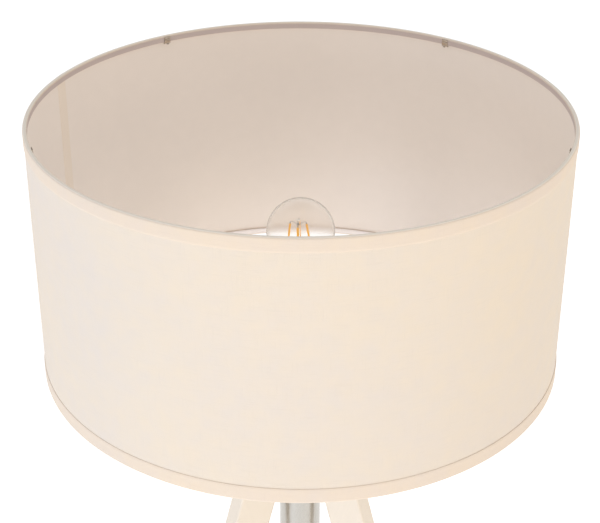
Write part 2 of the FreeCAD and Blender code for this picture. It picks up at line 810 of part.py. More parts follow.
def make_bulb_glass():
    """A dome, a hollow flare and a straight neck, all tangent, turned to a thin shell."""
    wall = size("glass_wall")
    radius = size("bulb_radius")
    neck = size("bulb_neck")
    flare_drop = size("bulb_flare")
    centre = size("lamp_height") - size("bulb_drop")
    neck_low = size("lamp_height") - size("holder_drop") - size("glass_foot")
    flare = (neck**2 + flare_drop**2 - radius**2) / (2 * (radius - neck))
    slope = math.atan2(flare_drop, neck + flare)

    def half_section(inset):
        """The points of the outline, moved inwards by inset."""
        dome = radius - inset
        hollow = flare + inset
        line = neck - inset

        def on_dome(angle):
            return FreeCAD.Vector(
                dome * math.cos(angle), 0, centre + dome * math.sin(angle)
            )

        def on_flare(angle):
            x = neck + flare - hollow * math.cos(angle)
            return FreeCAD.Vector(x, 0, centre - flare_drop + hollow * math.sin(angle))

        top = on_dome(math.pi / 2)
        top.x = 0.0
        join = on_dome(-slope)
        foot = FreeCAD.Vector(line, 0, centre - flare_drop)
        end = FreeCAD.Vector(line, 0, neck_low)
        arcs = [
            Part.Arc(top, on_dome((math.pi / 2 - slope) / 2), join),
            Part.Arc(join, on_flare(slope / 2), foot),
            Part.LineSegment(foot, end),
        ]
        return arcs, top, end

    outer, outer_top, outer_end = half_section(0.0)
    inner, inner_top, inner_end = half_section(wall)
    closing = [
        Part.LineSegment(outer_end, inner_end),
        Part.LineSegment(inner_top, outer_top),
    ]
    edges = [curve.toShape() for curve in outer + inner + closing]
    face = Part.Face(Part.Wire(Part.__sortEdges__(edges)))
    made = doc.addObject("Part::Feature", "bulb_glass")
    up = FreeCAD.Vector(0, 0, 1)
    made.Shape = face.revolve(FreeCAD.Vector(0, 0, 0), up, 360)
    return node("bulb_glass", made)


def make_bulb_cap():
    """The screw cap, its insulator, the contact under it and the driver inside."""
    inside = "thread_radius - cap_wall"
    thread_low = f"{CONTACT_LOW} + cap_rise"
    thread_high = f"{HOLDER_TOP} - cap_top"
    cuff = "bulb_neck + cuff_gap"
    cuff_low = f"{thread_high} + cuff_step"
    cuff_top = f"{HOLDER_TOP} + cuff_rise"
    corners = [
        ("cap_mouth", thread_low),
        ("thread_radius", f"{thread_low} + cap_taper"),
        ("thread_radius", thread_high),
        (f"{cuff} + cap_wall", cuff_low),
        (f"{cuff} + cap_wall", cuff_top),
        (cuff, cuff_top),
        (cuff, f"{cuff_low} + slip"),
        (inside, f"{thread_high} + cap_wall / 2"),
        (inside, f"{thread_low} + cap_taper + cap_wall"),
        ("cap_mouth", f"{thread_low} + cap_wall"),
    ]
    node("bulb_cap", turned("bulb_cap", corners))
    corners = [
        ("0", f"{CONTACT_LOW} + pin_height"),
        ("cone_radius", f"{CONTACT_LOW} + pin_height"),
        ("cap_mouth", f"{thread_low} - cone_top"),
        ("cap_mouth", f"{thread_low} + cap_wall"),
        ("0", f"{thread_low} + cap_wall"),
    ]
    node("bulb_cap_insulator", turned("bulb_cap_insulator", corners))
    pin_top = f"{CONTACT_LOW} + pin_height"
    node("bulb_contact", ring("bulb_contact", "0", "pin_radius", CONTACT_LOW, pin_top))
    low = f"{thread_low} + board_rise"
    board = ring_corners("-cap_mouth", "cap_mouth", low, f"{thread_high} - board_drop")
    node("bulb_driver", plate("bulb_driver", board, "board_wall"))


def make_bulb_inside():
    """The glass stem, the filaments that lean in at the top and their wires."""
    stem_low = f"{HOLDER_TOP} - glass_foot"
    stem_top = drop("filament_drop - stem_rise")
    shoulder = drop("filament_drop + filament_length + stem_drop")
    corners = [
        ("0", stem_low),
        ("stem_foot", stem_low),
        ("stem_foot", f"{stem_low} + stem_rim"),
        ("stem_neck", f"{stem_low} + stem_flare"),
        ("stem_shoulder", shoulder),
        ("stem_rod", f"{shoulder} + stem_slope"),
        ("stem_point", stem_top),
        ("0", stem_top),
    ]
    node("bulb_stem", turned("bulb_stem", corners))
    top = size("lamp_height") - size("filament_drop")
    low = top - size("filament_length")
    wire_top = top + size("wire_step")
    wire_low = low - size("wire_step")
    gap = size("wire_gap")
    filaments = []
    wires = []
    for k in range(FILAMENT_COUNT):
        azimuth = FIRST_FILAMENT_AZIMUTH + 360.0 * k / FILAMENT_COUNT
        upper = polar(size("filament_top"), azimuth, top)
        lower = polar(size("filament_foot"), azimuth, low)
        filaments.append(rod(f"filament_{k + 1}", lower, upper, "filament_radius"))
        hang = polar(size("filament_top"), azimuth, top + 3 * gap)
        hub = polar(size("wire_hub"), azimuth, wire_top)
        wires.append(rod(f"upper_wire_{k + 1}", hub, hang, "support_radius"))
        rest = polar(size("filament_foot") + gap, azimuth, low - 3 * gap)
        root = polar(size("wire_root"), azimuth, wire_low)
        wires.append(rod(f"lower_wire_{k + 1}", root, rest, "support_radius"))
    group("led_filaments", filaments)
    group("filament_wires", wires)


# ---------------------------------------------------------------- build, test and write


def build():
    make_column()
    make_end_caps()
    make_nipple()
    for side, azimuth in LEG_AZIMUTHS.items():
        make_leg(side, azimuth)
        make_foot_pad(side, azimuth)
    for row in ("upper", "lower"):
        make_hub(row)
        make_bolt_row(row)
    make_holder()
    make_collars()
    make_shade_walls()
    make_hem("top_hem", SHADE_TOP, "-", "top_band")
    make_hem("bottom_hem", SHADE_LOW, "+", "bottom_band")
    make_wire_ring("top_wire_ring", f"{SHADE_TOP} - hem_wall - hoop_height")
    make_wire_ring("bottom_wire_ring", f"{SHADE_LOW} + hem_wall")
    fitter = ring("fitter_ring", "fitter_bore", "fitter_rim", FITTER_LOW, FITTER_TOP)
    node("fitter_ring", fitter)
    for side, azimuth in ARM_AZIMUTHS.items():
        make_arm(side, azimuth)
    make_rim_clips()
    make_bulb_glass()
    make_bulb_cap()
    make_bulb_inside()


def find_faults():
    """What stands in the way of writing the files, in words."""
    faults = []
    for thing in doc.Objects:
        if "Invalid" in thing.State or "Error" in thing.State:
            faults.append(f"{thing.Label}: state {thing.State}")
    for thing in nodes:
        shape = thing.Shape
        if shape.isNull() or not shape.isValid() or not shape.Solids:
            faults.append(f"{thing.Label}: no valid solid")
        elif min(solid.Volume for solid in shape.Solids) <= 0:
            faults.append(f"{thing.Label}: a solid with no volume")
    return faults


sheet = write_sheet()
build()
doc.recompute()
faults = find_faults()
if faults:
    raise SystemExit("\n".join(faults))
os.makedirs("parts", exist_ok=True)
for piece in nodes:
    piece.Shape.exportStep(f"parts/{piece.Label}.step")
print(f"{len(nodes)} nodes written")
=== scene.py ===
import math

import bpy
import numpy as np
from mathutils import Matrix, Vector


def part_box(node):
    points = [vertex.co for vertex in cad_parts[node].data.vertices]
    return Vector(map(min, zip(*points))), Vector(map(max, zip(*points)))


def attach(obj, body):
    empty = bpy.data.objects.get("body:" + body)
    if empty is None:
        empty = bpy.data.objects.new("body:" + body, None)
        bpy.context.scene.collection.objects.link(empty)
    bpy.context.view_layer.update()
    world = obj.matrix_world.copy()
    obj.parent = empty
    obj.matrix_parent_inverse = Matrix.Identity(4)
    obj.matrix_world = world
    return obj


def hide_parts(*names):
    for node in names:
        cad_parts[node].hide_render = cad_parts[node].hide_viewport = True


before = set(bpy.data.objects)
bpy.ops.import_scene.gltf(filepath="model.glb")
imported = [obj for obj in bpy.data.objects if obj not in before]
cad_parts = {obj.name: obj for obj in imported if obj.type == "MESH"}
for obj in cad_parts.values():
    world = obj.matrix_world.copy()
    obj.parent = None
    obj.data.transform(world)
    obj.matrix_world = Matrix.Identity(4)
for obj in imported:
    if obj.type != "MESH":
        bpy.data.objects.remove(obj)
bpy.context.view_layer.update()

TAU = 2 * math.pi
MM = 0.001  # shapes are worked out in millimetres, materials in metres
SEAM = math.radians(159)  # where the shade's cloth and lining overlap
LAP = 6  # half the width of that overlap
CLOTH, FILM = 224.0, 223.7  # radius of the cloth and of the lining, for lengths round them
BEAD_IN = 221.0  # inner face of the bead along both rims
ARM_AZIMUTHS = [math.radians(a) for a in (30, 150, 270)]
LEG_AZIMUTHS = {"back": math.radians(90), "left": math.radians(210), "right": math.radians(330)}
CLIP_AZIMUTHS = [math.radians(a) for a in (52.9, 124.4, 199.5, 269.0, 340.9)]
FILAMENT_AZIMUTHS = [math.radians(-4 + 90 * k) for k in range(4)]
rng = np.random.default_rng(41)

# ------------------------------------------------------------ surfaces


def surface(points, close_rows=False, close_columns=True):
    """Faces and UV map of a grid of points[row, column]: each face joins four neighbours, and is
    a triangle where a row has shrunk to one point. U and V are the lengths along the columns and
    the rows so far, turned into metres, each the mean over the other direction."""
    rows, columns = points.shape[:2]
    along = points[np.arange(rows + close_rows) % rows]
    across = points[:, np.arange(columns + close_columns) % columns]
    v = np.concatenate([[0], np.cumsum(np.linalg.norm(np.diff(along, axis=0), axis=2).mean(1))])
    u = np.concatenate([[0], np.cumsum(np.linalg.norm(np.diff(across, axis=1), axis=2).mean(0))])
    i, j = (k.ravel() for k in np.indices((len(v) - 1, len(u) - 1)))
    i, j = np.stack([i, i, i + 1, i + 1], 1), np.stack([j, j + 1, j + 1, j], 1)
    uv = np.stack([u[j], v[i]], 2) * MM
    shrunk = np.ptp(points, axis=1).max(1) < 1e-6
    corner = (i % rows) * columns + np.where(shrunk[i % rows], 0, j % columns)
    first, last = corner[:, 0] == corner[:, 1], corner[:, 2] == corner[:, 3]
    low, high = first & ~last, last & ~first
    return {
        "points": points.reshape(-1, 3),
        "quads": corner[~first & ~last],
        "quad_uv": uv[~first & ~last],
        "tris": np.concatenate([corner[low][:, [0, 2, 3]], corner[high][:, [0, 1, 2]]]),
        "tri_uv": np.concatenate([uv[low][:, [0, 2, 3]], uv[high][:, [0, 1, 2]]]),
    }


def piece(name, parts, finish, body, replaces, sharp=35):
    """One object from several surfaces, put end to end without their unused points. Edges that
    bend by more than sharp degrees stay crisp."""
    start = np.cumsum([0] + [len(p["points"]) for p in parts])
    points = np.concatenate([p["points"] for p in parts])
    quads = np.concatenate([p["quads"] + s for p, s in zip(parts, start)])
    tris = np.concatenate([p["tris"] + s for p, s in zip(parts, start)])
    used, corners = np.unique(np.concatenate([quads.ravel(), tris.ravel()]), return_inverse=True)
    corners = corners.reshape(-1)
    faces = corners[:quads.size].reshape(-1, 4).tolist()
    faces += corners[quads.size:].reshape(-1, 3).tolist()
    mesh = bpy.data.meshes.new(name)
    mesh.from_pydata((points[used] * MM).tolist(), [], faces)
    uv = np.concatenate([p["quad_uv"].reshape(-1, 2) for p in parts]
                        + [p["tri_uv"].reshape(-1, 2) for p in parts])
    mesh.uv_layers.new(name="UVMap").data.foreach_set("uv", uv.ravel().astype(np.float32))
    mesh.shade_smooth()
    mesh.set_sharp_from_angle(angle=math.radians(sharp))
    mesh.materials.append(finish)
    made = bpy.data.objects.new(name, mesh)
    link(made)
    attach(made, body)
    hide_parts(*replaces)
    return made


def link(made):
    """Puts an object in the scene."""
    bpy.context.scene.collection.objects.link(made)


def placed(part, across, along, outwards, origin=(0, 0, 0)):
    """A part with its own x, y and z laid along three directions and then moved."""
    axes = np.array([across, along, outwards], float)
    return {**part, "points": part["points"] @ axes + np.array(origin)}


def turned(part, azimuth):
    """A part turned about the lamp's axis."""
    c, s = math.cos(azimuth), math.sin(azimuth)
    return placed(part, (c, s, 0), (-s, c, 0), (0, 0, 1))


def aimed(part, azimuth, level):
    """A part whose own z points away from the lamp's axis, at one level."""
    c, s = math.cos(azimuth), math.sin(azimuth)
    return placed(part, (-s, c, 0), (0, 0, 1), (c, s, 0), (0, 0, level))


def soften(corners, radius, steps=4, closed=True):
    """Each corner C becomes a curve between A and B, which lie on its two edges at the radius from
    it or at 0.45 of the edge: (1 - t)^2 A + 2 t (1 - t) C + t^2 B. Works in a plane or in space."""
    c = np.asarray(corners, float)
    radius = np.broadcast_to(np.asarray(radius, float), len(c))[:, None]
    edges = np.roll(c, 1, 0) - c, np.roll(c, -1, 0) - c
    a, b = (c + e * np.minimum(radius / np.maximum(np.linalg.norm(e, axis=1, keepdims=True), 1e-12), 0.45)
            for e in edges)
    t = np.linspace(0, 1, steps + 1)[None, :, None]
    curve = (1 - t) ** 2 * a[:, None] + 2 * t * (1 - t) * c[:, None] + t**2 * b[:, None]
    if closed:
        return curve.reshape(-1, c.shape[1])
    return np.concatenate([c[:1], curve[1:-1].reshape(-1, c.shape[1]), c[-1:]])


def dense(outline, step, closed=True):
    """The same outline with points no further apart than the step: each coordinate is read off
    its straight runs at even lengths, and the corners are kept."""
    line = np.concatenate([outline, outline[:1]]) if closed else np.asarray(outline, float)
    length = np.concatenate([[0], np.cumsum(np.linalg.norm(np.diff(line, axis=0), axis=1))])
    at = np.union1d(length, np.arange(0, length[-1], step))
    at = at[np.concatenate([[True], np.diff(at) > 1e-4])]
    points = np.stack([np.interp(at, length, line[:, k]) for k in range(line.shape[1])], 1)
    return points[:-1] if closed else points


def band(inner, outer, low, high, ease, steps=4):
    """The outline of a ring's section: a rectangle of (radius, height) with eased corners."""
    return soften([(inner, low), (outer, low), (outer, high), (inner, high)], ease, steps)


def strip(path, thickness):
    """The outline of a strip: a path, and back along it moved sideways by the thickness, which is
    along the path's normal (direction turned a quarter to the left)."""
    path = np.asarray(path, float)
    way = np.gradient(path, axis=0)
    way /= np.linalg.norm(way, axis=1, keepdims=True)
    return np.concatenate([path, (path + thickness * np.stack([-way[:, 1], way[:, 0]], 1))[::-1]])


def anticlockwise(outline):
    """The outline in the order that gives a positive area, so that its faces look outwards."""
    x, y = outline.T
    area = np.sum(x * np.roll(y, -1) - np.roll(x, -1) * y)
    return outline if area > 0 else outline[::-1]


def lathe(outline, steps=96, angles=None, shape=None, closed=True):
    """An outline of (radius, height) carried round the upright axis: x = r cos a, y = r sin a.
    shape(a, r, h) may first ripple, thread or flatten the radius and height."""
    outline = np.asarray(outline, float)
    if angles is None:
        angles = np.linspace(0, TAU, steps, endpoint=False)
    a, r = np.meshgrid(angles, outline[:, 0])
    h = np.repeat(outline[:, 1:], len(angles), axis=1)
    if shape:
        r, h = shape(a, r, h)
    return surface(np.stack([r * np.cos(a), r * np.sin(a), h], 2), close_rows=closed)


def lathed(name, node, outline, steps, finish, body, closed=True, shape=None, sharp=35):
    """One turned outline as the piece that stands for a node."""
    part = lathe(outline, steps, shape=shape, closed=closed)
    return piece(name, [part], finish, body, [node], sharp)


def threaded(low, high, depth, pitch, beyond=0.0):
    """For lathe: between two levels, and beyond a radius, r grows by depth (1 + sin(2 pi h / pitch
    - a)) / 2, a right-hand thread that fades out over a third of a pitch at its ends."""
    def shape(a, r, h):
        full = np.clip(np.minimum(h - low, high - h) / (0.35 * pitch), 0, 1) * (r >= beyond)
        return r + depth * full * (0.5 + 0.5 * np.sin(TAU * h / pitch - a)), h
    return shape


def sweep(path, section, side, scale=None, closed=False):
    """A section of (sideways, up) offsets carried along a path: point = path + scale (s side + u
    up), where up is the path's direction x side, made square to the path."""
    path = np.asarray(path, float)
    way = np.roll(path, -1, 0) - np.roll(path, 1, 0) if closed else np.gradient(path, axis=0)
    way /= np.linalg.norm(way, axis=1, keepdims=True)
    up = np.cross(way, np.broadcast_to(np.asarray(side, float), path.shape))
    up /= np.linalg.norm(up, axis=1, keepdims=True)
    side = np.cross(up, way)
    scale = np.ones(len(path)) if scale is None else np.asarray(scale, float)
    offset = section[None, :, :1] * side[:, None] + section[None, :, 1:] * up[:, None]
    return surface(path[:, None] + scale[:, None, None] * offset, close_rows=closed)


def circle(radius, around=16, flatten=1.0):
    """A circle, or an ellipse when flattened, as (sideways, up) offsets."""
    a = np.linspace(0, TAU, around, endpoint=False)
    return radius * np.stack([np.cos(a), flatten * np.sin(a)], 1)


def rod(path, radius, side, around=16, swell=None, flatten=1.0):
    """A round rod along a path with half-round ends: over the last radius of its length, the scale
    is sin s at radius (1 - cos s) from the end. swell(length so far) makes it thicker."""
    path = np.asarray(path, float)
    s = np.linspace(0, math.pi / 2, 6)[:-1]
    first, last = path[1] - path[0], path[-2] - path[-1]
    first, last = first / np.linalg.norm(first), last / np.linalg.norm(last)
    head = path[0] + np.outer(radius * (1 - np.cos(s)), first)
    tail = path[-1] + np.outer(radius * (1 - np.cos(s)), last)
    middle = np.concatenate([[path[0] + radius * first], path[1:-1], [path[-1] + radius * last]])
    line = np.concatenate([head, middle, tail[::-1]])
    scale = np.concatenate([np.sin(s), np.ones(len(middle)), np.sin(s)[::-1]])
    if swell:
        length = np.concatenate([[0], np.cumsum(np.linalg.norm(np.diff(line, axis=0), axis=1))])
        scale = scale * swell(length)
    return sweep(line, circle(radius, around, flatten), side, scale)


def stack(outline, rows):
    """A flat outline stacked up: row k is the outline scaled by rows[k][0] about its own middle,
    at the height rows[k][1]. A scale of 0 closes it."""
    outline = np.asarray(outline, float)
    middle = (outline.min(0) + outline.max(0)) / 2
    rows = np.asarray(rows, float)
    flat = middle + rows[:, :1, None] * (outline - middle)[None]
    level = np.broadcast_to(rows[:, 1:, None], flat.shape[:2] + (1,))
    return surface(np.concatenate([flat, level], 2))


def waves(angle, counts, size):
    """A sum of sines round the lamp with seeded phases, whole waves to a turn, at most the size."""
    phase = rng.uniform(0, TAU, len(counts))
    weight = rng.uniform(0.4, 1.0, len(counts))
    total = sum(w * np.sin(n * angle + p) for n, p, w in zip(counts, phase, weight))
    return size * total / weight.sum()


def box(node):
    """A node's lowest and highest corner."""
    return np.array([list(corner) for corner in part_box(node)], float) / MM


def span(node):
    """How far a node reaches from the lamp's axis, and its lowest and highest level."""
    low, high = box(node)
    return high[0], low[2], high[2]


# ------------------------------------------------------------ node helpers


def add(tree, kind, inputs=None, **settings):
    """A node with its settings, and inputs that are values or other nodes' outputs."""
    made = tree.nodes.new(kind)
    for key, value in settings.items():
        setattr(made, key, value)
    for key, value in (inputs or {}).items():
        if isinstance(value, bpy.types.NodeSocket):
            tree.links.new(value, made.inputs[key])
        else:
            made.inputs[key].default_value = value
    return made


def math_node(tree, operation, *values):
    """The output of a Math node."""
    made = add(tree, "ShaderNodeMath", dict(enumerate(values)), operation=operation)
    return made.outputs[0]


def times(tree, first, second):
    """The product of two values."""
    return math_node(tree, "MULTIPLY", first, second)


def xyz(tree, vector):
    """The three parts of a vector."""
    return add(tree, "ShaderNodeSeparateXYZ", {0: vector}).outputs


def scaled(tree, vector, factors):
    """A vector times another, part by part."""
    made = add(tree, "ShaderNodeVectorMath", {0: vector, 1: factors}, operation="MULTIPLY")
    return made.outputs[0]


def noise(tree, vector, scale, detail=2.0, roughness=0.5):
    """The value of a noise texture."""
    made = add(tree, "ShaderNodeTexNoise",
               {"Vector": vector, "Scale": scale, "Detail": detail, "Roughness": roughness})
    return made.outputs[0]


def ramp(tree, value, low, high, start=0.0, end=1.0):
    """A value carried from low..high to start..end, and held there."""
    made = add(tree, "ShaderNodeMapRange",
               {"Value": value, "From Min": low, "From Max": high, "To Min": start, "To Max": end})
    return made.outputs[0]


def blend_colour(tree, factor, first, second, kind="MIX"):
    """The colour output of a Mix node."""
    made = add(tree, "ShaderNodeMix", data_type="RGBA", blend_type=kind)
    for number, value in ((0, factor), (6, first), (7, second)):
        if isinstance(value, bpy.types.NodeSocket):
            tree.links.new(value, made.inputs[number])
        else:
            made.inputs[number].default_value = value
    return made.outputs[2]


def fade(tree, mask, share, first, second):
    """The first colour, with at most that share of the second over it where the mask is 1."""
    return blend_colour(tree, times(tree, mask, share), first, second)


def group(name, inputs, outputs, build):
    """A node group with named sockets. build(tree, the group's inputs) returns the outputs."""
    tree = bpy.data.node_groups.new(name, "ShaderNodeTree")
    kinds = {"float": "NodeSocketFloat", "vector": "NodeSocketVector", "colour": "NodeSocketColor"}
    for socket, (kind, value) in inputs.items():
        made = tree.interface.new_socket(socket, in_out="INPUT", socket_type=kinds[kind])
        if value is not None:
            made.default_value = value
    for socket, kind in outputs.items():
        tree.interface.new_socket(socket, in_out="OUTPUT", socket_type=kinds[kind])
    given = tree.nodes.new("NodeGroupInput")
    ends = tree.nodes.new("NodeGroupOutput")
    for socket, value in build(tree, given.outputs).items():
        tree.links.new(value, ends.inputs[socket])
    return tree


def use(tree, made_group, **inputs):
    """A group placed in a material. Returns its outputs."""
    node = tree.nodes.new("ShaderNodeGroup")
    node.node_tree = made_group
    for key, value in inputs.items():
        socket = node.inputs[key.replace("_", " ")]
        if isinstance(value, bpy.types.NodeSocket):
            tree.links.new(value, socket)
        else:
            socket.default_value = value
    return node.outputs


def material(name, metallic=0.0, **sockets):
    """A new material: its tree, its Principled shader with constants set, and itself."""
    made = bpy.data.materials.new(name)
    made.use_nodes = True
    tree = made.node_tree
    shader = next(n for n in tree.nodes if n.type == "BSDF_PRINCIPLED")
    shader.inputs["Metallic"].default_value = metallic
    for key, value in sockets.items():
        shader.inputs[key.replace("_", " ")].default_value = value
    return tree, shader, made


def place(tree, kind="Object"):
    """Object coordinates, or the piece's own UV map in metres."""
    return tree.nodes.new("ShaderNodeTexCoord").outputs[kind]


def dress(tree, shader, colour=None, roughness=None, height=None, depth=0.0001, strength=1.0):
    """Links a colour, a roughness and a bump height to the shader."""
    if colour is not None:
        tree.links.new(colour, shader.inputs["Base Color"])
    if roughness is not None:
        tree.links.new(roughness, shader.inputs["Roughness"])
    if height is not None:
        bump = add(tree, "ShaderNodeBump", {"Height": height, "Distance": depth, "Strength": strength})
        tree.links.new(bump.outputs[0], shader.inputs["Normal"])


# ------------------------------------------------------------ shared effects


def build_weave(tree, given):
    """Plain weave: warp sine times weft sine, with the threads wandering a little. Slubs are thick
    threads, where noise drawn out along one direction rises above a limit."""
    at = xyz(tree, given["Vector"])
    wander = noise(tree, given["Vector"], 140.0, 1.0)
    drift = ramp(tree, wander, 0.0, 1.0, -2.2, 2.2)
    turns = times(tree, given["Threads"], TAU)
    warp = math_node(tree, "SINE", math_node(tree, "MULTIPLY_ADD", at[0], turns, drift))
    weft = math_node(tree, "SINE", math_node(tree, "MULTIPLY_ADD", at[1], turns, drift))
    over = math_node(tree, "MULTIPLY_ADD", times(tree, warp, weft), 0.5, 0.5)
    flat = noise(tree, scaled(tree, given["Vector"], (45.0, 1500.0, 1.0)), 1.0, 2.0)
    tall = noise(tree, scaled(tree, given["Vector"], (1500.0, 45.0, 1.0)), 1.0, 2.0)
    slubs = math_node(tree, "MAXIMUM", ramp(tree, flat, 0.56, 0.78), ramp(tree, tall, 0.58, 0.80))
    cloudy = ramp(tree, noise(tree, given["Vector"], 700.0, 3.0, 0.6), 0.3, 0.7)
    high = math_node(tree, "MULTIPLY_ADD", slubs, 0.9, times(tree, over, 0.5))
    return {"Height": high, "Slubs": slubs, "Over": over, "Cloud": cloudy}


def build_mottle(tree, given):
    """Two colours mixed by a broad cloud and a fine one."""
    broad = noise(tree, given["Vector"], given["Scale"], 3.0, 0.55)
    fine = noise(tree, given["Vector"], times(tree, given["Scale"], 9.0), 2.0)
    both = math_node(tree, "MULTIPLY_ADD", fine, 0.35, times(tree, broad, 0.65))
    share = ramp(tree, both, 0.35, 0.65)
    return {"Colour": blend_colour(tree, share, given["First"], given["Second"]), "Share": share}


def build_drawn(tree, given):
    """Fine lines left by drawing or brushing: noise squeezed across the direction of the lines."""
    line = scaled(tree, given["Vector"], given["Squeeze"])
    fine, coarse = noise(tree, line, 1.0, 3.0, 0.6), noise(tree, line, 0.21, 2.0)
    return {"Lines": math_node(tree, "MULTIPLY_ADD", coarse, 0.4, times(tree, fine, 0.6))}


def build_scuffs(tree, given):
    """Sparse rubbed spots: a broad noise above a limit, broken up by a fine one."""
    broad = ramp(tree, noise(tree, given["Vector"], given["Scale"], 4.0, 0.6), given["Limit"], 0.80)
    fine = ramp(tree, noise(tree, given["Vector"], times(tree, given["Scale"], 14.0), 2.0), 0.42, 0.58)
    return {"Mask": times(tree, broad, fine)}


def build_dust(tree, given):
    """Dust on what faces up: the upward part of the normal, from 0.55 to 1, times a noise."""
    up = xyz(tree, tree.nodes.new("ShaderNodeNewGeometry").outputs["Normal"])[2]
    lying = ramp(tree, noise(tree, given["Vector"], 900.0, 3.0, 0.7), 0.45, 0.70)
    return {"Mask": times(tree, ramp(tree, up, 0.55, 1.0), lying)}


vector_in = {"Vector": ("vector", None)}
weave = group("weave", {**vector_in, "Threads": ("float", 1800.0)},
              {"Height": "float", "Slubs": "float", "Over": "float", "Cloud": "float"}, build_weave)
mottle = group("mottle", {**vector_in, "Scale": ("float", 20.0), "First": ("colour", None),
                          "Second": ("colour", None)}, {"Colour": "colour", "Share": "float"}, build_mottle)
drawn = group("drawn_lines", {**vector_in, "Squeeze": ("vector", (1.0, 1.0, 1.0))}, {"Lines": "float"},
              build_drawn)
scuffs = group("scuffs", {**vector_in, "Scale": ("float", 30.0), "Limit": ("float", 0.6)},
               {"Mask": "float"}, build_scuffs)
dust = group("dust", vector_in, {"Mask": "float"}, build_dust)


def rgb(red, green, blue):
    return (red, green, blue, 1.0)


def shade(colour, amount):
    """The colour made darker or lighter by an amount."""
    return tuple(c * amount for c in colour[:3]) + (1.0,)


def clouded(tree, vector, scale, colour, low, high):
    """One colour mottled between two amounts of it."""
    return use(tree, mottle, Vector=vector, Scale=scale, First=shade(colour, low),
               Second=shade(colour, high))


# ------------------------------------------------------------ materials


def woven_cotton(name, colour, threads, bump, inside=None):
    """Plain woven cotton with slubs, in the piece's own UV metres, with painted shade where the threads
    dip under. On the bead's inner face, from 1.6 mm behind the rim's edge on, the tape gets another
    given colour, and along the rim's edge it is painted paler: a painted highlight."""
    tree, shader, made = material(name, Sheen_Weight=0.02, Sheen_Roughness=0.5, Specular_IOR_Level=0.25)
    uv = place(tree, "UV")
    cloth = use(tree, weave, Vector=uv, Threads=threads)
    cool = rgb(colour[0] * 0.96, colour[1] * 0.975, colour[2] * 1.015)
    warm = rgb(colour[0] * 1.015, colour[1] * 1.0, colour[2] * 0.955)
    tone = use(tree, mottle, Vector=uv, Scale=8.0, First=cool, Second=warm)
    slubbed = fade(tree, cloth["Slubs"], 0.30, tone["Colour"],
                           shade(colour, 0.86))
    # darker where the threads dip under each other: painted shade between the threads
    under = math_node(tree, "SUBTRACT", 1.0, cloth["Over"])
    woven = fade(tree, under, 0.16, slubbed, shade(colour, 0.80))
    final = fade(tree, cloth["Cloud"], 0.10, woven, shade(colour, 0.90))
    if inside:
        flat = scaled(tree, place(tree), (1.0, 1.0, 0.0))
        radius = add(tree, "ShaderNodeVectorMath", {0: flat}, operation="LENGTH").outputs["Value"]
        level = xyz(tree, place(tree))[2]
        low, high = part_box("bottom_hem")[0].z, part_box("top_hem")[1].z
        away = math_node(tree, "ABSOLUTE", math_node(tree, "SUBTRACT", level, (high + low) / 2))
        edge = (high - low) / 2
        within = math_node(tree, "MINIMUM",
                           ramp(tree, radius, (BEAD_IN + 1.0) * MM, (BEAD_IN + 1.6) * MM, 1.0, 0.0),
                           ramp(tree, away, edge - 2.0 * MM, edge - 1.2 * MM, 1.0, 0.0))
        # along both rims' edges the tape is painted paler: a painted highlight
        final = blend_colour(tree, ramp(tree, away, edge - 0.8 * MM, edge - 0.3 * MM), final, EDGE_HIGHLIGHT)
        # the bead's inner face takes the given colour, lilac-grey on the upper tape and pale on the lower,
        # clouded a little
        inner_face_colour = fade(tree, cloth["Cloud"], 0.25, inside, shade(inside, 0.9))
        final = blend_colour(tree, within, final, inner_face_colour)
    rough = ramp(tree, cloth["Slubs"], 0.0, 1.0, 0.88, 0.78)
    dress(tree, shader, final, rough, cloth["Height"], 0.00012, bump)
    return made


def satin_lining():
    """Satin film laminated to the cloth, with a faint print-through of the weave and a glued
    overlap that is slightly yellower."""
    tree, shader, made = material("shade_lining", Specular_IOR_Level=0.5, Sheen_Weight=0.05)
    uv = place(tree, "UV")
    cloth = use(tree, weave, Vector=uv, Threads=1500.0)
    tone = clouded(tree, uv, 9.0, LINING, 0.985, 1.015)
    u = xyz(tree, uv)[0]
    away = math_node(tree, "ABSOLUTE", math_node(tree, "SUBTRACT", u, math.pi * FILM * MM))
    glued = ramp(tree, away, LAP * MM, (LAP + 0.4) * MM, 1.0, 0.0)
    colour = fade(tree, glued, 0.55, tone["Colour"],
                          rgb(LINING[0] * 0.97, LINING[1] * 0.92, LINING[2] * 0.82))
    colour = fade(tree, cloth["Slubs"], 0.12, colour, shade(LINING, 0.9))
    rough = ramp(tree, tone["Share"], 0.0, 1.0, 0.50, 0.58)
    dress(tree, shader, colour, rough, cloth["Height"], 0.00006, 0.35)
    return made


def powder_coat(name, colour):
    """Powder coating: a fine orange peel, dust on top and a few rubbed spots."""
    tree, shader, made = material(name, Coat_Weight=0.1, Coat_Roughness=0.3)
    at = place(tree)
    peel = noise(tree, at, 900.0, 2.0)
    tone = clouded(tree, at, 40.0, colour, 0.96, 1.02)
    laid = use(tree, dust, Vector=at)
    dusty = fade(tree, laid["Mask"], 0.25, tone["Colour"], rgb(0.52, 0.48, 0.43))
    dress(tree, shader, dusty, ramp(tree, peel, 0.3, 0.7, 0.34, 0.46), peel, 0.00008, 0.5)
    return made


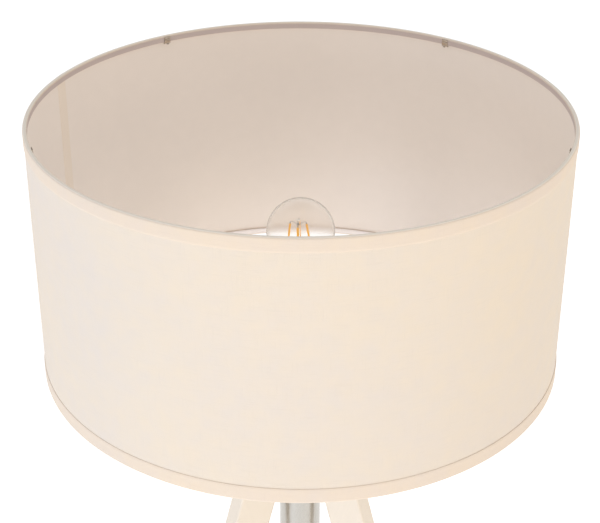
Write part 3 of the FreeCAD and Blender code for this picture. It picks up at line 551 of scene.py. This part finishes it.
def leg_lacquer(side):
    """Cream lacquer on a wooden board: the grain runs along the board and shows faintly through,
    with small rubbed spots scattered over it."""
    tree, shader, made = material(f"leg_lacquer_{side}", Coat_Weight=0.22, Coat_Roughness=0.22,
                                  Specular_IOR_Level=0.45)
    upright = add(tree, "ShaderNodeMapping",
                  {"Vector": place(tree), "Rotation": (0, 0, -LEG_AZIMUTHS[side])},
                  vector_type="POINT")
    lying = add(tree, "ShaderNodeMapping", {"Vector": upright.outputs[0], "Rotation": (0, -LEAN, 0)},
                vector_type="POINT").outputs[0]
    lines = use(tree, drawn, Vector=lying, Squeeze=(240.0, 240.0, 7.0))["Lines"]
    pores = ramp(tree, noise(tree, scaled(tree, lying, (1300.0, 1300.0, 55.0)), 1.0, 2.0), 0.62, 0.78)
    grained = blend_colour(tree, ramp(tree, lines, 0.35, 0.65, 0.0, 0.55), shade(CREAM, 1.0),
                           shade(CREAM, 0.945))
    tone = use(tree, mottle, Vector=lying, Scale=6.0, First=rgb(1, 1, 1), Second=rgb(0.975, 0.97, 0.96))
    toned = blend_colour(tree, 1.0, grained, tone["Colour"], "MULTIPLY")
    rubbed = use(tree, scuffs, Vector=lying, Scale=22.0, Limit=0.62)["Mask"]
    worn = fade(tree, rubbed, 0.22, toned, rgb(0.62, 0.52, 0.40))
    height = math_node(tree, "MULTIPLY_ADD", pores, -0.5, times(tree, lines, 0.6))
    rough = math_node(tree, "MULTIPLY_ADD", rubbed, 0.2, ramp(tree, lines, 0.3, 0.7, 0.32, 0.42))
    dress(tree, shader, worn, rough, height, 0.00012, 0.55)
    return made


def metal(name, colour, rough, squeeze, lines=1.0, kind="Object", scuffed=0.35):
    """Metal with fine drawn lines, clouding and scuffs."""
    tree, shader, made = material(name, metallic=1.0)
    at = place(tree, kind)
    streak = use(tree, drawn, Vector=at, Squeeze=squeeze)["Lines"]
    tone = clouded(tree, at, 35.0, colour, 0.95, 1.03)
    marks = use(tree, scuffs, Vector=at, Scale=60.0, Limit=0.60)["Mask"]
    marked = blend_colour(tree, times(tree, marks, scuffed), tone["Colour"], shade(colour, 0.72))
    roughness = math_node(tree, "MULTIPLY_ADD", marks, 0.18,
                          ramp(tree, streak, 0.3, 0.7, rough, rough * 1.6))
    dress(tree, shader, marked, roughness, streak, 0.00003, lines)
    return made


def moulded(name, colour, rough, grain=1400.0, depth=0.00005, **sockets):
    """Moulded plastic or fired ceramic: clouded colour, a fine skin and settled dust."""
    tree, shader, made = material(name, **sockets)
    at = place(tree)
    skin = noise(tree, at, grain, 3.0, 0.6)
    tone = clouded(tree, at, 45.0, colour, 0.94, 1.03)
    laid = use(tree, dust, Vector=at)
    dusty = fade(tree, laid["Mask"], 0.3, tone["Colour"], rgb(0.5, 0.46, 0.42))
    dress(tree, shader, dusty, ramp(tree, skin, 0.3, 0.7, rough, rough + 0.15), skin, depth, 0.6)
    return made


def pressed_felt():
    """Grey-brown pressed felt: tangled fibres at two scales."""
    tree, shader, made = material("pressed_felt", Sheen_Weight=0.5, Sheen_Roughness=0.6,
                                  Specular_IOR_Level=0.2)
    at = place(tree)
    tangle = noise(tree, at, 1700.0, 5.0, 0.7)
    tufts = noise(tree, at, 420.0, 3.0, 0.6)
    both = math_node(tree, "ADD", times(tree, tangle, 0.6), times(tree, tufts, 0.4))
    colour = blend_colour(tree, ramp(tree, both, 0.35, 0.65), rgb(0.16, 0.13, 0.11), rgb(0.32, 0.27, 0.23))
    dress(tree, shader, colour, ramp(tree, both, 0.3, 0.7, 0.88, 1.0), both, 0.0006, 0.9)
    return made


def clear_glass(name, tint, rough, index=1.47):
    """Clear blown glass, very slightly uneven, with faint smears that roughen it."""
    tree, shader, made = material(name, Transmission_Weight=1.0, IOR=index, Base_Color=tint,
                                  Roughness=rough)
    at = place(tree)
    smear = use(tree, scuffs, Vector=at, Scale=38.0, Limit=0.5)["Mask"]
    blown = noise(tree, at, 55.0, 1.0)
    dress(tree, shader, None, ramp(tree, smear, 0.0, 1.0, rough, rough + 0.05), blown, 0.0004, 0.15)
    return made


def glowing_phosphor():
    """Amber silicone with phosphor grains over the chips, with a faint painted glow though the lamp is off.
    """
    tree, shader, made = material("amber_phosphor", Emission_Color=rgb(1.0, 0.50, 0.07),
                                  Emission_Strength=0.28, Coat_Weight=0.3, Coat_Roughness=0.2)
    at = place(tree)
    grains = noise(tree, at, 2600.0, 3.0, 0.7)
    chips = noise(tree, at, 700.0, 1.0)
    colour = blend_colour(tree, ramp(tree, grains, 0.35, 0.65), rgb(0.95, 0.42, 0.03), rgb(1.0, 0.60, 0.12))
    dress(tree, shader, colour, ramp(tree, chips, 0.3, 0.7, 0.4, 0.6), grains, 0.0001, 0.8)
    return made


def circuit_board():
    """Green solder mask with paler pads and tinned spots on a small grid."""
    tree, shader, made = material("circuit_board", Coat_Weight=0.2)
    at = place(tree)
    cells = add(tree, "ShaderNodeTexVoronoi", {"Vector": at, "Scale": 420.0, "Randomness": 0.35},
                feature="F1", distance="CHEBYCHEV").outputs["Distance"]
    pads = ramp(tree, cells, 0.25, 0.30, 1.0, 0.0)
    mask = use(tree, mottle, Vector=at, Scale=90.0, First=rgb(0.03, 0.14, 0.06),
               Second=rgb(0.06, 0.22, 0.10))
    colour = blend_colour(tree, pads, mask["Colour"], rgb(0.70, 0.66, 0.55))
    dress(tree, shader, colour, ramp(tree, pads, 0, 1, 0.45, 0.25), pads, 0.00006, 0.8)
    return made


LEAN = math.radians(16.3)
COTTON = rgb(0.79, 0.70, 0.60)
TAPE = rgb(0.80, 0.685, 0.57)
# the paler colour of the painted highlight along the rims' edges
EDGE_HIGHLIGHT = rgb(0.97, 0.90, 0.80)
LILAC = rgb(0.56, 0.465, 0.43)
PALE = rgb(0.90, 0.83, 0.79)
LINING = rgb(0.845, 0.755, 0.675)
CREAM = rgb(0.81, 0.725, 0.615)
WHITE_PAINT = rgb(0.80, 0.78, 0.75)

cotton_cloth = woven_cotton("shade_cotton", COTTON, 1700.0, 0.7)
upper_tape = woven_cotton("upper_binding_tape", TAPE, 2000.0, 0.55, inside=LILAC)
lower_tape = woven_cotton("lower_binding_tape", TAPE, 2000.0, 0.55, inside=PALE)
lining_film = satin_lining()
white_coat = powder_coat("white_powder_coat", WHITE_PAINT)
nickel = metal("clip_nickel", rgb(0.50, 0.42, 0.34), 0.22, (900.0, 900.0, 900.0), 0.4, scuffed=0.6)
bright_steel = metal("column_steel", rgb(0.55, 0.53, 0.49), 0.22, (2200.0, 30.0, 1.0), 0.35, "UV", 0.15)
cap_steel = metal("cap_steel", rgb(0.62, 0.60, 0.57), 0.20, (700.0, 700.0, 700.0), 0.5)
cast_alloy = metal("hub_alloy", rgb(0.52, 0.51, 0.50), 0.38, (500.0, 500.0, 500.0), 1.0)
zinc_screw = metal("zinc_screws", rgb(0.60, 0.58, 0.55), 0.24, (900.0, 900.0, 900.0), 0.7, scuffed=0.5)
brass = metal("turned_brass", rgb(0.78, 0.58, 0.30), 0.22, (600.0, 600.0, 1800.0), 0.5)
plated_shell = metal("plated_cap", rgb(0.74, 0.73, 0.71), 0.20, (300.0, 300.0, 1600.0), 0.5)
thin_wire_metal = metal("nickel_wire", rgb(0.50, 0.48, 0.46), 0.28, (800.0, 800.0, 800.0), 0.2)
holder_plastic = moulded("holder_plastic", rgb(0.80, 0.785, 0.75), 0.34, Coat_Weight=0.1)
ceramic = moulded("fired_ceramic", rgb(0.82, 0.80, 0.76), 0.30, grain=700.0, Coat_Weight=0.25)
bush_plastic = moulded("bush_plastic", rgb(0.70, 0.69, 0.66), 0.42)
black_glass = moulded("cap_glass_black", rgb(0.015, 0.015, 0.018), 0.12, Coat_Weight=0.4)
felt = pressed_felt()
bulb_clear = clear_glass("bulb_clear", rgb(0.975, 0.965, 0.95), 0.11, 1.25)
stem_clear = clear_glass("stem_clear", rgb(0.93, 0.94, 0.93), 0.02)
amber = glowing_phosphor()
green_board = circuit_board()

CARRIED = {
    "leg_back": leg_lacquer("back"), "leg_left": leg_lacquer("left"), "leg_right": leg_lacquer("right"),
    "threaded_nipple": brass, "nipple_nut": zinc_screw, "upper_hub": cast_alloy, "lower_hub": cast_alloy,
    "holder_core": ceramic, "centre_contact": brass, "terminal_screws": brass,
    "top_wire_ring": white_coat, "bottom_wire_ring": white_coat, "bulb_driver": green_board,
}
for node_name, finish in CARRIED.items():
    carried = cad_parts[node_name]
    carried.data.materials.clear()
    carried.data.materials.append(finish)

# ------------------------------------------------------------ shade


def lap_window(angle, ease):
    """1 over the overlap at the seam and 0 elsewhere, rising over the ease at each side."""
    away = np.abs((angle - SEAM + math.pi) % TAU - math.pi) * CLOTH
    return np.clip((LAP - away) / ease + 0.5, 0, 1)


def shade_angles(count):
    """Even angles from opposite the seam, with more beside the edges of the overlap."""
    edge = LAP / CLOTH
    extra = np.concatenate([sign * edge + np.array([-4, -2, 0, 2, 4]) * 0.0009 for sign in (-1, 1)])
    return SEAM + np.union1d(np.linspace(-math.pi, math.pi, count, endpoint=False), extra)


def make_cover():
    """Cotton cloth on stiff film as a thin closed shell: an upright wall whose radius wanders by
    slow sines of the angle and height, with the outer ply's overlap 0.35 mm proud at the seam."""
    radius, low, high = span("shade_cover")
    wall = 0.55
    outline = dense(band(radius - wall, radius, low, high, 0.1, 2), 14)
    slow, slower = rng.uniform(0, TAU, 6), (2, 3, 5, 8, 11, 17)

    def shape(a, r, h):
        rise = (h - low) / (high - low)
        wander = sum(np.sin(n * a + p + 1.7 * rise * (n % 3)) / n for n, p in zip(slower, slow))
        held = np.sin(math.pi * np.clip(rise, 0, 1))
        outer = r > radius - 0.3 * wall
        lap = 0.35 * lap_window(a, 0.5) * outer
        return r - 0.22 + 0.20 * wander * (0.3 + 0.7 * held) + lap, h

    return piece("cotton_cover", [lathe(outline, angles=shade_angles(480), shape=shape)], cotton_cloth,
                 "shade", ["shade_cover"])


def make_lining():
    """Satin film inside the cloth as a thin closed shell, with a glued strip 0.45 mm proud, towards
    the axis, over the seam."""
    _, low, high = span("shade_liner")
    outer = span("shade_cover")[0] - 0.72
    inner = outer - 0.5
    outline = dense(band(inner, outer, low, high, 0.1, 2), 14)

    def shape(a, r, h):
        return r - 0.45 * lap_window(a, 0.5) * (r < inner + 0.2), h

    return piece("satin_lining", [lathe(outline, angles=shade_angles(480), shape=shape)], lining_film,
                 "shade", ["shade_liner"])


def make_binding(name, node, tape, up, band_height):
    """Cotton tape wrapped over the rim's flat wire: a strip 0.45 mm thick whose path goes up the
    outside, over the edge, down the wire's inner face and back to the lining. Small seeded puckers
    move it by up to 0.15 mm, more at the bead, and the tape's end overlaps at the seam."""
    radius, low, high = span(node)
    out, bead = radius - 0.14, BEAD_IN + 0.08
    edge, sign = (high - 0.1, -1) if up else (low + 0.1, 1)
    corners = [(out - 0.30, band_height), (out, band_height - 1.2), (out, 1.2), (out - 0.9, 0.0),
               (bead + 0.9, 0.0), (bead, 1.0), (bead, 5.8), (bead + 0.7, 6.4), (bead + 2.1, 6.2)]
    path = soften(corners, 0.8, 3, closed=False) * (1, sign) + (0, edge)
    outline = anticlockwise(dense(strip(path, 0.45 if up else -0.45), 2.2))
    counts, other = rng.integers(45, 170, 14), rng.integers(45, 170, 14)

    def shape(a, r, h):
        inner = np.clip((radius - 0.8 - r) / 1.6, 0, 1)
        lap = 0.25 * lap_window(a, 0.6) * (1 - inner)
        return (r + waves(a, counts, 1.0) * (0.05 + 0.10 * inner) + lap,
                h + waves(a, other, 1.0) * (0.03 + 0.06 * inner))

    return piece(name, [lathe(outline, angles=shade_angles(720), shape=shape)], tape,
                 "shade", [node])


def make_clips():
    """Sheet clips on the upper bead's inner face: an eased rectangle carried along a bent path,
    from a curled top down the face and under the bead, with a narrow tongue bent off its foot."""
    _, low, high = span("rim_clips")
    wide = band(-3.0, 3.0, -0.2, 0.2, 0.15, 2)
    face = BEAD_IN - 0.32
    around = [(face - 0.5, high), (face, high - 0.9), (face, low + 0.3), (BEAD_IN + 1.7, low + 0.2)]
    tongue = [(face - 0.15, low + 3.0), (face - 0.25, low + 0.6), (face - 1.3, low - 0.2)]
    ridge = [(face - 0.3, high - 1.9), (face - 0.75, high - 2.4), (face - 0.3, high - 2.9)]
    parts = []
    for corners, section in ((around, wide), (tongue, wide * (0.38, 0.9)), (ridge, wide * (0.8, 0.9))):
        path = soften(corners, 0.7, 5, closed=False)
        line = np.stack([path[:, 0], np.zeros(len(path)), path[:, 1]], 1)
        way = np.gradient(line, axis=0)
        line = np.concatenate([line[:1] - way[:1] * 1e-4, line, line[-1:] + way[-1:] * 1e-4])
        scale = np.ones(len(line))
        scale[[0, -1]] = 0
        parts.append(sweep(line, section, (0, 1, 0), scale))
    piece("nickel_rim_clips", [turned(p, a) for a in CLIP_AZIMUTHS for p in parts], nickel,
          "shade", ["rim_clips"])


def make_spider():
    """The fitter ring as an eased flat ring, and three arms of round wire that run level and then
    bend down to the lower wire ring. A bump of exp(-(distance / 2.2 mm)^2) thickens each weld."""
    outer, low, high = span("fitter_ring")
    ring = lathe(band(21, outer, low, high, 0.5), 144)
    piece("fitter_washer", [ring], white_coat, "shade", ["fitter_ring"])
    level = (low + high) / 2
    reach, drop = BEAD_IN + 0.2, box("bottom_wire_ring")[:, 2].mean()
    for side, azimuth in zip(("right", "left", "front"), ARM_AZIMUTHS):
        path = soften([(outer - 0.4, 0, level), (41, 0, level), (reach, 0, drop)], 9, 8, closed=False)
        path = dense(path, 3, closed=False)

        def swell(length):
            near = np.exp(-((length - 1.2) / 2.2) ** 2)
            far = np.exp(-((length[-1] - length - 1.0) / 2.6) ** 2)
            return 1 + 0.16 * near + 0.30 * far

        piece(f"wire_arm_{side}", [turned(rod(path, 1.95, (0, 1, 0), 20, swell), azimuth)], white_coat,
              "shade", [f"shade_arm_{side}"])


cover = make_cover()
lining = make_lining()
upper_binding = make_binding("upper_binding", "top_hem", upper_tape, True, 11.9)
lower_binding = make_binding("lower_binding", "bottom_hem", lower_tape, False, 13.3)
make_clips()
make_spider()

# ------------------------------------------------------------ lampholder


def make_holder():
    """The lampholder's turned parts: threads, ribs and notches are functions of the angle and
    height that move each outline in or out."""
    outer, low, high = span("holder_sleeve")
    thread = 0.75
    bore, wall, lip, top = outer - 2.0, outer - thread, 15, high - 3
    sleeve = soften([(bore, low), (wall, low), (wall, high), (lip, high), (lip, top), (bore, top)], 0.5, 3)
    shape = threaded(low + 3, high - 3.5, thread, 2.6, beyond=wall - 0.1)
    lathed("threaded_sleeve", "holder_sleeve", dense(sleeve, 0.36), 96, holder_plastic, "stand",
           shape=shape)

    outer, low, high = span("holder_cup")
    cup = soften([(5.1, low), (13.2, low), (14.2, low + 1.4), (outer - 1.8, high - 7),
                  (outer, high - 3.4), (outer, high), (outer - 1.9, high), (outer - 3.6, high - 7),
                  (12.3, low + 2.2), (5.1, low + 2.2)], 1.0, 4)

    def ribbed(a, r, h):
        on_side = (r > 13.8) & (h < high - 4)
        return r - 0.25 * on_side * (0.5 + 0.5 * np.cos(24 * a)) ** 3, h

    lathed("ribbed_cup", "holder_cup", dense(cup, 1.2), 192, holder_plastic, "stand",
           shape=ribbed)

    _, low, high = span("holder_thread_shell")
    shell = dense(band(13.5, 13.85, low, high, 0.1, 2), 0.45)
    pressed = threaded(low + 1, high - 2, -0.30, 3.6)
    lathed("pressed_thread_shell", "holder_thread_shell", shell, 72, brass, "stand", shape=pressed)

    outer, low, high = span("support_ring")
    step = low + 3
    ring = soften([(19.9, low), (22.9, low), (22.9, step), (outer, step), (outer, high), (19.9, high)],
                  0.45, 4)

    def milled(a, r, h):
        return r - 0.22 * (r > outer - 0.6) * (0.5 + 0.5 * np.cos(60 * a)), h

    lathed("milled_support_ring", "support_ring", dense(ring, 1.0), 480, holder_plastic, "stand",
           shape=milled)

    outer, low, high = span("lock_ring")
    step, hub = low + 2, 23.9
    ring = soften([(19.95, low), (outer, low), (outer, step), (hub, step), (hub, high), (19.95, high)],
                  0.45, 4)

    def notched(a, r, h):
        notch = np.clip(6 * (np.cos(12 * a) - 0.55), 0, 1)
        rim = 0.22 * (r > outer - 0.6) * (0.5 + 0.5 * np.cos(60 * a))
        return r - 1.1 * notch * ((h > step + 0.3) & (r > hub - 1.2)) - rim, h

    lathed("notched_lock_ring", "lock_ring", dense(ring, 0.9), 480, holder_plastic, "lock_ring",
           shape=notched)


make_holder()

# ------------------------------------------------------------ bulb


def bulb_line(inset):
    """(radius, height) of the bulb's outline moved inwards by the inset, from its neck to its top:
    a straight neck, a hollow arc about a point outside the glass, and an arc about the dome's
    centre, all tangent."""
    _, low, top = span("bulb_glass")
    dome, neck, drop = 29.5, 14, 47
    centre = top - dome
    flare = (neck**2 + drop**2 - dome**2) / (2 * (dome - neck))
    slope = math.atan2(drop, neck + flare)
    turn = np.linspace(math.pi, math.pi - slope, 22)
    hollow = np.stack([neck + flare + (flare + inset) * np.cos(turn),
                       centre - drop + (flare + inset) * np.sin(turn)], 1)
    turn = np.linspace(-slope, math.pi / 2, 46)[1:]
    ball = np.stack([(dome - inset) * np.cos(turn), centre + (dome - inset) * np.sin(turn)], 1)
    ball[-1, 0] = 0
    return np.concatenate([[(neck - inset, low)], hollow, ball])


def leaning(part):
    """The bulb's inside leans: x falls by 2.2 mm from the stem's foot to its top."""
    _, low, high = span("bulb_stem")
    share = np.clip((part["points"][:, 2:] - low) / (high - low), 0, 1.1)
    return {**part, "points": part["points"] - share * (2.2, 0, 0)}


def make_bulb():
    """The envelope is its outline up, and the same line 0.45 mm inside back down. The cap, its
    insulator, contact and the stem are turned; filaments and wires are rods along curves."""
    envelope = np.concatenate([bulb_line(0), bulb_line(0.45)[::-1]])
    lathed("glass_envelope", "bulb_glass", envelope, 128, bulb_clear, "bulb", sharp=80)

    _, low, high = span("bulb_cap")
    cuff, root = 14.5, 12.5
    cap = soften([(8.6, low + 0.1), (11.6, low + 0.3), (root, low + 1.6), (root, high - 5.2),
                  (13.6, high - 4.4), (cuff, high - 3.4), (cuff, high), (14.12, high),
                  (14.12, high - 3.4), (13.2, high - 4.1), (12.1, high - 5.0),
                  (12.1, low + 1.8), (11.4, low + 0.7), (8.6, low + 0.5)], 0.5, 3)
    screw = threaded(low + 1.4, high - 5.0, 0.58, 3.6, beyond=root - 0.05)
    lathed("screw_cap", "bulb_cap", dense(cap, 0.4), 96, plated_shell, "bulb", shape=screw)

    outer, low, high = span("bulb_cap_insulator")
    cone = soften([(0, low), (4.9, low), (outer, high - 0.9), (outer, high), (0, high)], 0.6, 4,
                  closed=False)
    lathed("black_insulator", "bulb_cap_insulator", cone, 72, black_glass, "bulb",
           closed=False)

    outer, low, high = span("bulb_contact")
    button = soften([(0, low), (0.6 * outer, low + 0.05), (outer, low + 0.6), (outer, high), (0, high)],
                    0.5, 4, closed=False)
    lathed("centre_button", "bulb_contact", button, 64, plated_shell, "bulb", closed=False)

    _, low, high = span("bulb_stem")
    mount = soften([(0, low), (9.0, low), (4.4, low + 5), (3.3, low + 14), (3.0, low + 21),
                    (1.4, low + 26), (1.05, low + 34), (1.0, high - 3.2),
                    (1.45, high - 1.6), (1.1, high - 0.3), (0, high)], 3.2, 6, closed=False)
    piece("glass_stem", [leaning(lathe(mount, 48, closed=False))], stem_clear, "bulb",
          ["bulb_stem"], sharp=70)
    stem_top = high

    _, low, high = span("led_filaments")
    inner, outer, side = 7, 11, (0, 1, 0)
    upper, lower = high - 0.2, low + 0.2
    strip_line = dense(np.array([(inner, 0, upper - 1.2), (outer, 0, lower + 1.2)]), 0.6, closed=False)

    def beaded(length):
        return 1 + 0.05 * np.sin(TAU * length / 1.15)

    filament = rod(strip_line, 1.05, side, 14, beaded, 0.85)
    piece("filament_strips", [leaning(turned(filament, a)) for a in FILAMENT_AZIMUTHS], amber, "bulb",
          ["led_filaments"])

    hook = soften([(0.9, 0, stem_top - 5.5), (2.6, 0, stem_top - 3.6), (5.2, 0, stem_top - 2.2),
                   (6.6, 0, upper + 0.9), (inner - 0.1, 0, upper - 2.4)], 1.2, 5, closed=False)
    foot = soften([(2.9, 0, lower - 9.5), (6.0, 0, lower - 7.2), (outer + 0.3, 0, lower - 2.4),
                   (outer - 0.1, 0, lower + 2.6)], 2.0, 5, closed=False)
    tab = dense(np.array([(inner, 0, upper + 0.1), (inner + 0.25, 0, upper - 1.9)]), 0.5, closed=False)
    wires = [rod(dense(hook, 0.5, closed=False), 0.23, side, 8),
             rod(dense(foot, 0.7, closed=False), 0.25, side, 8),
             rod(tab, 0.5, side, 8, flatten=0.5)]
    piece("lead_wires", [leaning(turned(w, a)) for a in FILAMENT_AZIMUTHS for w in wires],
          thin_wire_metal, "bulb", ["filament_wires"])


make_bulb()

# ------------------------------------------------------------ stand


def make_column():
    """Drawn steel tube with eased ends, and turned caps whose rims are rounded."""
    outer, low, high = span("column_tube")
    tube = dense(band(outer - 1.5, outer, low, high, 0.35, 3), 30)
    lathed("steel_column", "column_tube", tube, 160, bright_steel, "stand")
    for name, node, top in (("upper_column_cap", "column_top_cap", True),
                            ("lower_column_cap", "column_bottom_cap", False)):
        _, cap_low, cap_high = span(node)
        low_face, high_face = (high, cap_high) if top else (cap_low, low)
        corners = [(6.3, low_face), (outer, low_face), (outer, high_face), (6.3, high_face)]
        if top:
            corners[0], corners[3] = (5.05, low_face), (5.05, high_face)
        ease = [0.2, 0.2, 1.6, 0.4] if top else [0.4, 1.6, 0.2, 0.2]
        lathed(name, node, soften(corners, ease, 5), 160, cap_steel, "stand")
    outer, low, high = span("cable_bush")
    bush = soften([(4.9, low), (outer - 0.6, low), (outer, low + 1), (outer, low + 3), (6.1, low + 3),
                   (6.1, high), (3.6, high), (3.6, low + 1.6)], 0.6, 4)
    lathed("entry_bush", "cable_bush", bush, 96, bush_plastic, "stand")


def make_screws():
    """Socket screws pointing inwards: a shank, a knurled head and a six-sided socket, whose radius
    is its half width / cos(angle from the nearest flat's middle)."""
    def socketed(a, r, h):
        six = 1 / np.cos((a + TAU / 12) % (TAU / 6) - TAU / 12)
        knurl = 0.07 * (0.5 + 0.5 * np.cos(36 * a)) * (r > 4.6) * (h < -1.2)
        return np.where((h > -4.5) & (r < 3.0), r * six, r) - knurl, h

    for row in ("upper", "lower"):
        bolts = box(f"{row}_leg_bolts")
        level, head = bolts[:, 2].mean(), bolts[1, 1]
        length = head - 8
        outline = soften([(0, -length), (2.7, -length), (3, 0.4 - length), (3, -6), (5, -6),
                          (5, 0), (2.75, 0), (2.5, -0.4), (2.5, -3.4), (0, -3.9)],
                         [0, 0.2, 0.2, 0.1, 0.2, 0.6, 0.1, 0.1, 0.1, 0], 3, closed=False)
        screw = lathe(dense(outline, 1.0, closed=False), 216, shape=socketed, closed=False)
        away = {**screw, "points": screw["points"] + (0, 0, head)}
        piece(f"{row}_socket_screws", [aimed(away, a, level) for a in LEG_AZIMUTHS.values()], zinc_screw,
              "stand", [f"{row}_leg_bolts"])
        washer = lathe(band(3.25, 6.0, head - 7, head - 6, 0.2, 3), 72)
        piece(f"{row}_flat_washers", [aimed(washer, a, level) for a in LEG_AZIMUTHS.values()], zinc_screw,
              "stand", [f"{row}_bolt_washers"])


def make_pads():
    """Felt under each foot: a rounded rectangle stacked from a closed bottom to a closed top, with
    its edge pinched in and its sides uneven by a seeded ripple."""
    (_, near, low), (half, far, high) = box("foot_pad_back")
    corners = soften([(near, -half), (far, -half), (far, half), (near, half)], 3, 8)
    outline = dense(corners, 1.2)
    a = np.arctan2(outline[:, 1], outline[:, 0] - (near + far) / 2)
    outwards = np.stack([np.cos(a), np.sin(a)], 1)
    outline = outline - 0.12 * (1 + np.sin(23 * a + 0.7))[:, None] * outwards
    thick = high - low
    rows = [(0, low), (0.55, low), (0.93, low), (0.985, low + 0.12 * thick), (1, low + 0.4 * thick),
            (0.99, low + 0.7 * thick), (0.97, high), (0.5, high), (0, high)]
    pad = stack(outline, rows)
    for side, azimuth in LEG_AZIMUTHS.items():
        piece(f"felt_pad_{side}", [turned(pad, azimuth)], felt, "stand", [f"foot_pad_{side}"],
              sharp=60)


make_column()
make_screws()
make_pads()

# ------------------------------------------------------------ stage, light and camera


def make_stage():
    """A pale floor, flat for many metres round the lamp."""
    x, y = np.meshgrid(np.linspace(-14, 14, 15), np.linspace(-14, 14, 15), indexing="ij")
    grid = surface(np.stack([x, y, np.zeros_like(x)], 2).transpose(1, 0, 2), close_columns=False)
    mesh = bpy.data.meshes.new("studio_floor")
    mesh.from_pydata(grid["points"].tolist(), [], grid["quads"].tolist())
    tree, shader, made = material("studio_paper", Roughness=0.9, Specular_IOR_Level=0.1,
                                  Emission_Color=rgb(1, 1, 1), Emission_Strength=0.62)
    tone = use(tree, mottle, Vector=place(tree), Scale=3.0, First=rgb(0.79, 0.79, 0.79),
               Second=rgb(0.80, 0.80, 0.80))
    dress(tree, shader, tone["Colour"])
    mesh.materials.append(made)
    floor = bpy.data.objects.new("studio_floor", mesh)
    link(floor)


def soft_light(name, place_at, aim, size, power, colour):
    """A square soft box that points at a place."""
    lamp = bpy.data.lights.new(name, "AREA")
    lamp.shape, lamp.size, lamp.energy, lamp.color = "SQUARE", size, power, colour
    made = bpy.data.objects.new(name, lamp)
    made.location = place_at
    made.rotation_euler = (Vector(aim) - Vector(place_at)).to_track_quat("-Z", "Y").to_euler()
    link(made)


make_stage()
soft_light("warm_box", (2.9, -3.1, 1.1), (0, 0, 1.25), 2.0, 22, (1.0, 0.75, 0.40))
soft_light("low_box", (-1.7, -2.6, 0.35), (0.08, 0.1, 1.25), 0.9, 9.5, (0.92, 0.94, 1.0))
soft_light("cool_box", (-3.1, -2.9, 0.95), (0, 0, 1.25), 1.8, 26, (0.56, 0.72, 1.0))

world = bpy.data.worlds.new("studio")
world.use_nodes = True
background = next(n for n in world.node_tree.nodes if n.type == "BACKGROUND")
sky = world.node_tree
height = xyz(sky, place(sky, "Generated"))[2]
low_sky, high_sky = rgb(1.02, 1.01, 1.01), rgb(0.55, 0.54, 0.535)
sky.links.new(blend_colour(sky, ramp(sky, height, 0.10, 0.75), low_sky, high_sky),
              background.inputs["Color"])
bpy.context.scene.world = world
bpy.context.scene.view_settings.view_transform = "Standard"

lens = bpy.data.cameras.new("studio_camera")
lens.lens, lens.sensor_width = 85.0, 36.0
camera = bpy.data.objects.new("studio_camera", lens)
camera.matrix_world = (Matrix.Translation((0.0, -1.0761, 1.8433))
                       @ Matrix.Rotation(math.radians(0.03), 4, "Z")
                       @ Matrix.Rotation(math.radians(61.54), 4, "X")
                       @ Matrix.Rotation(math.radians(0.15), 4, "Z"))
link(camera)
bpy.context.scene.camera = camera
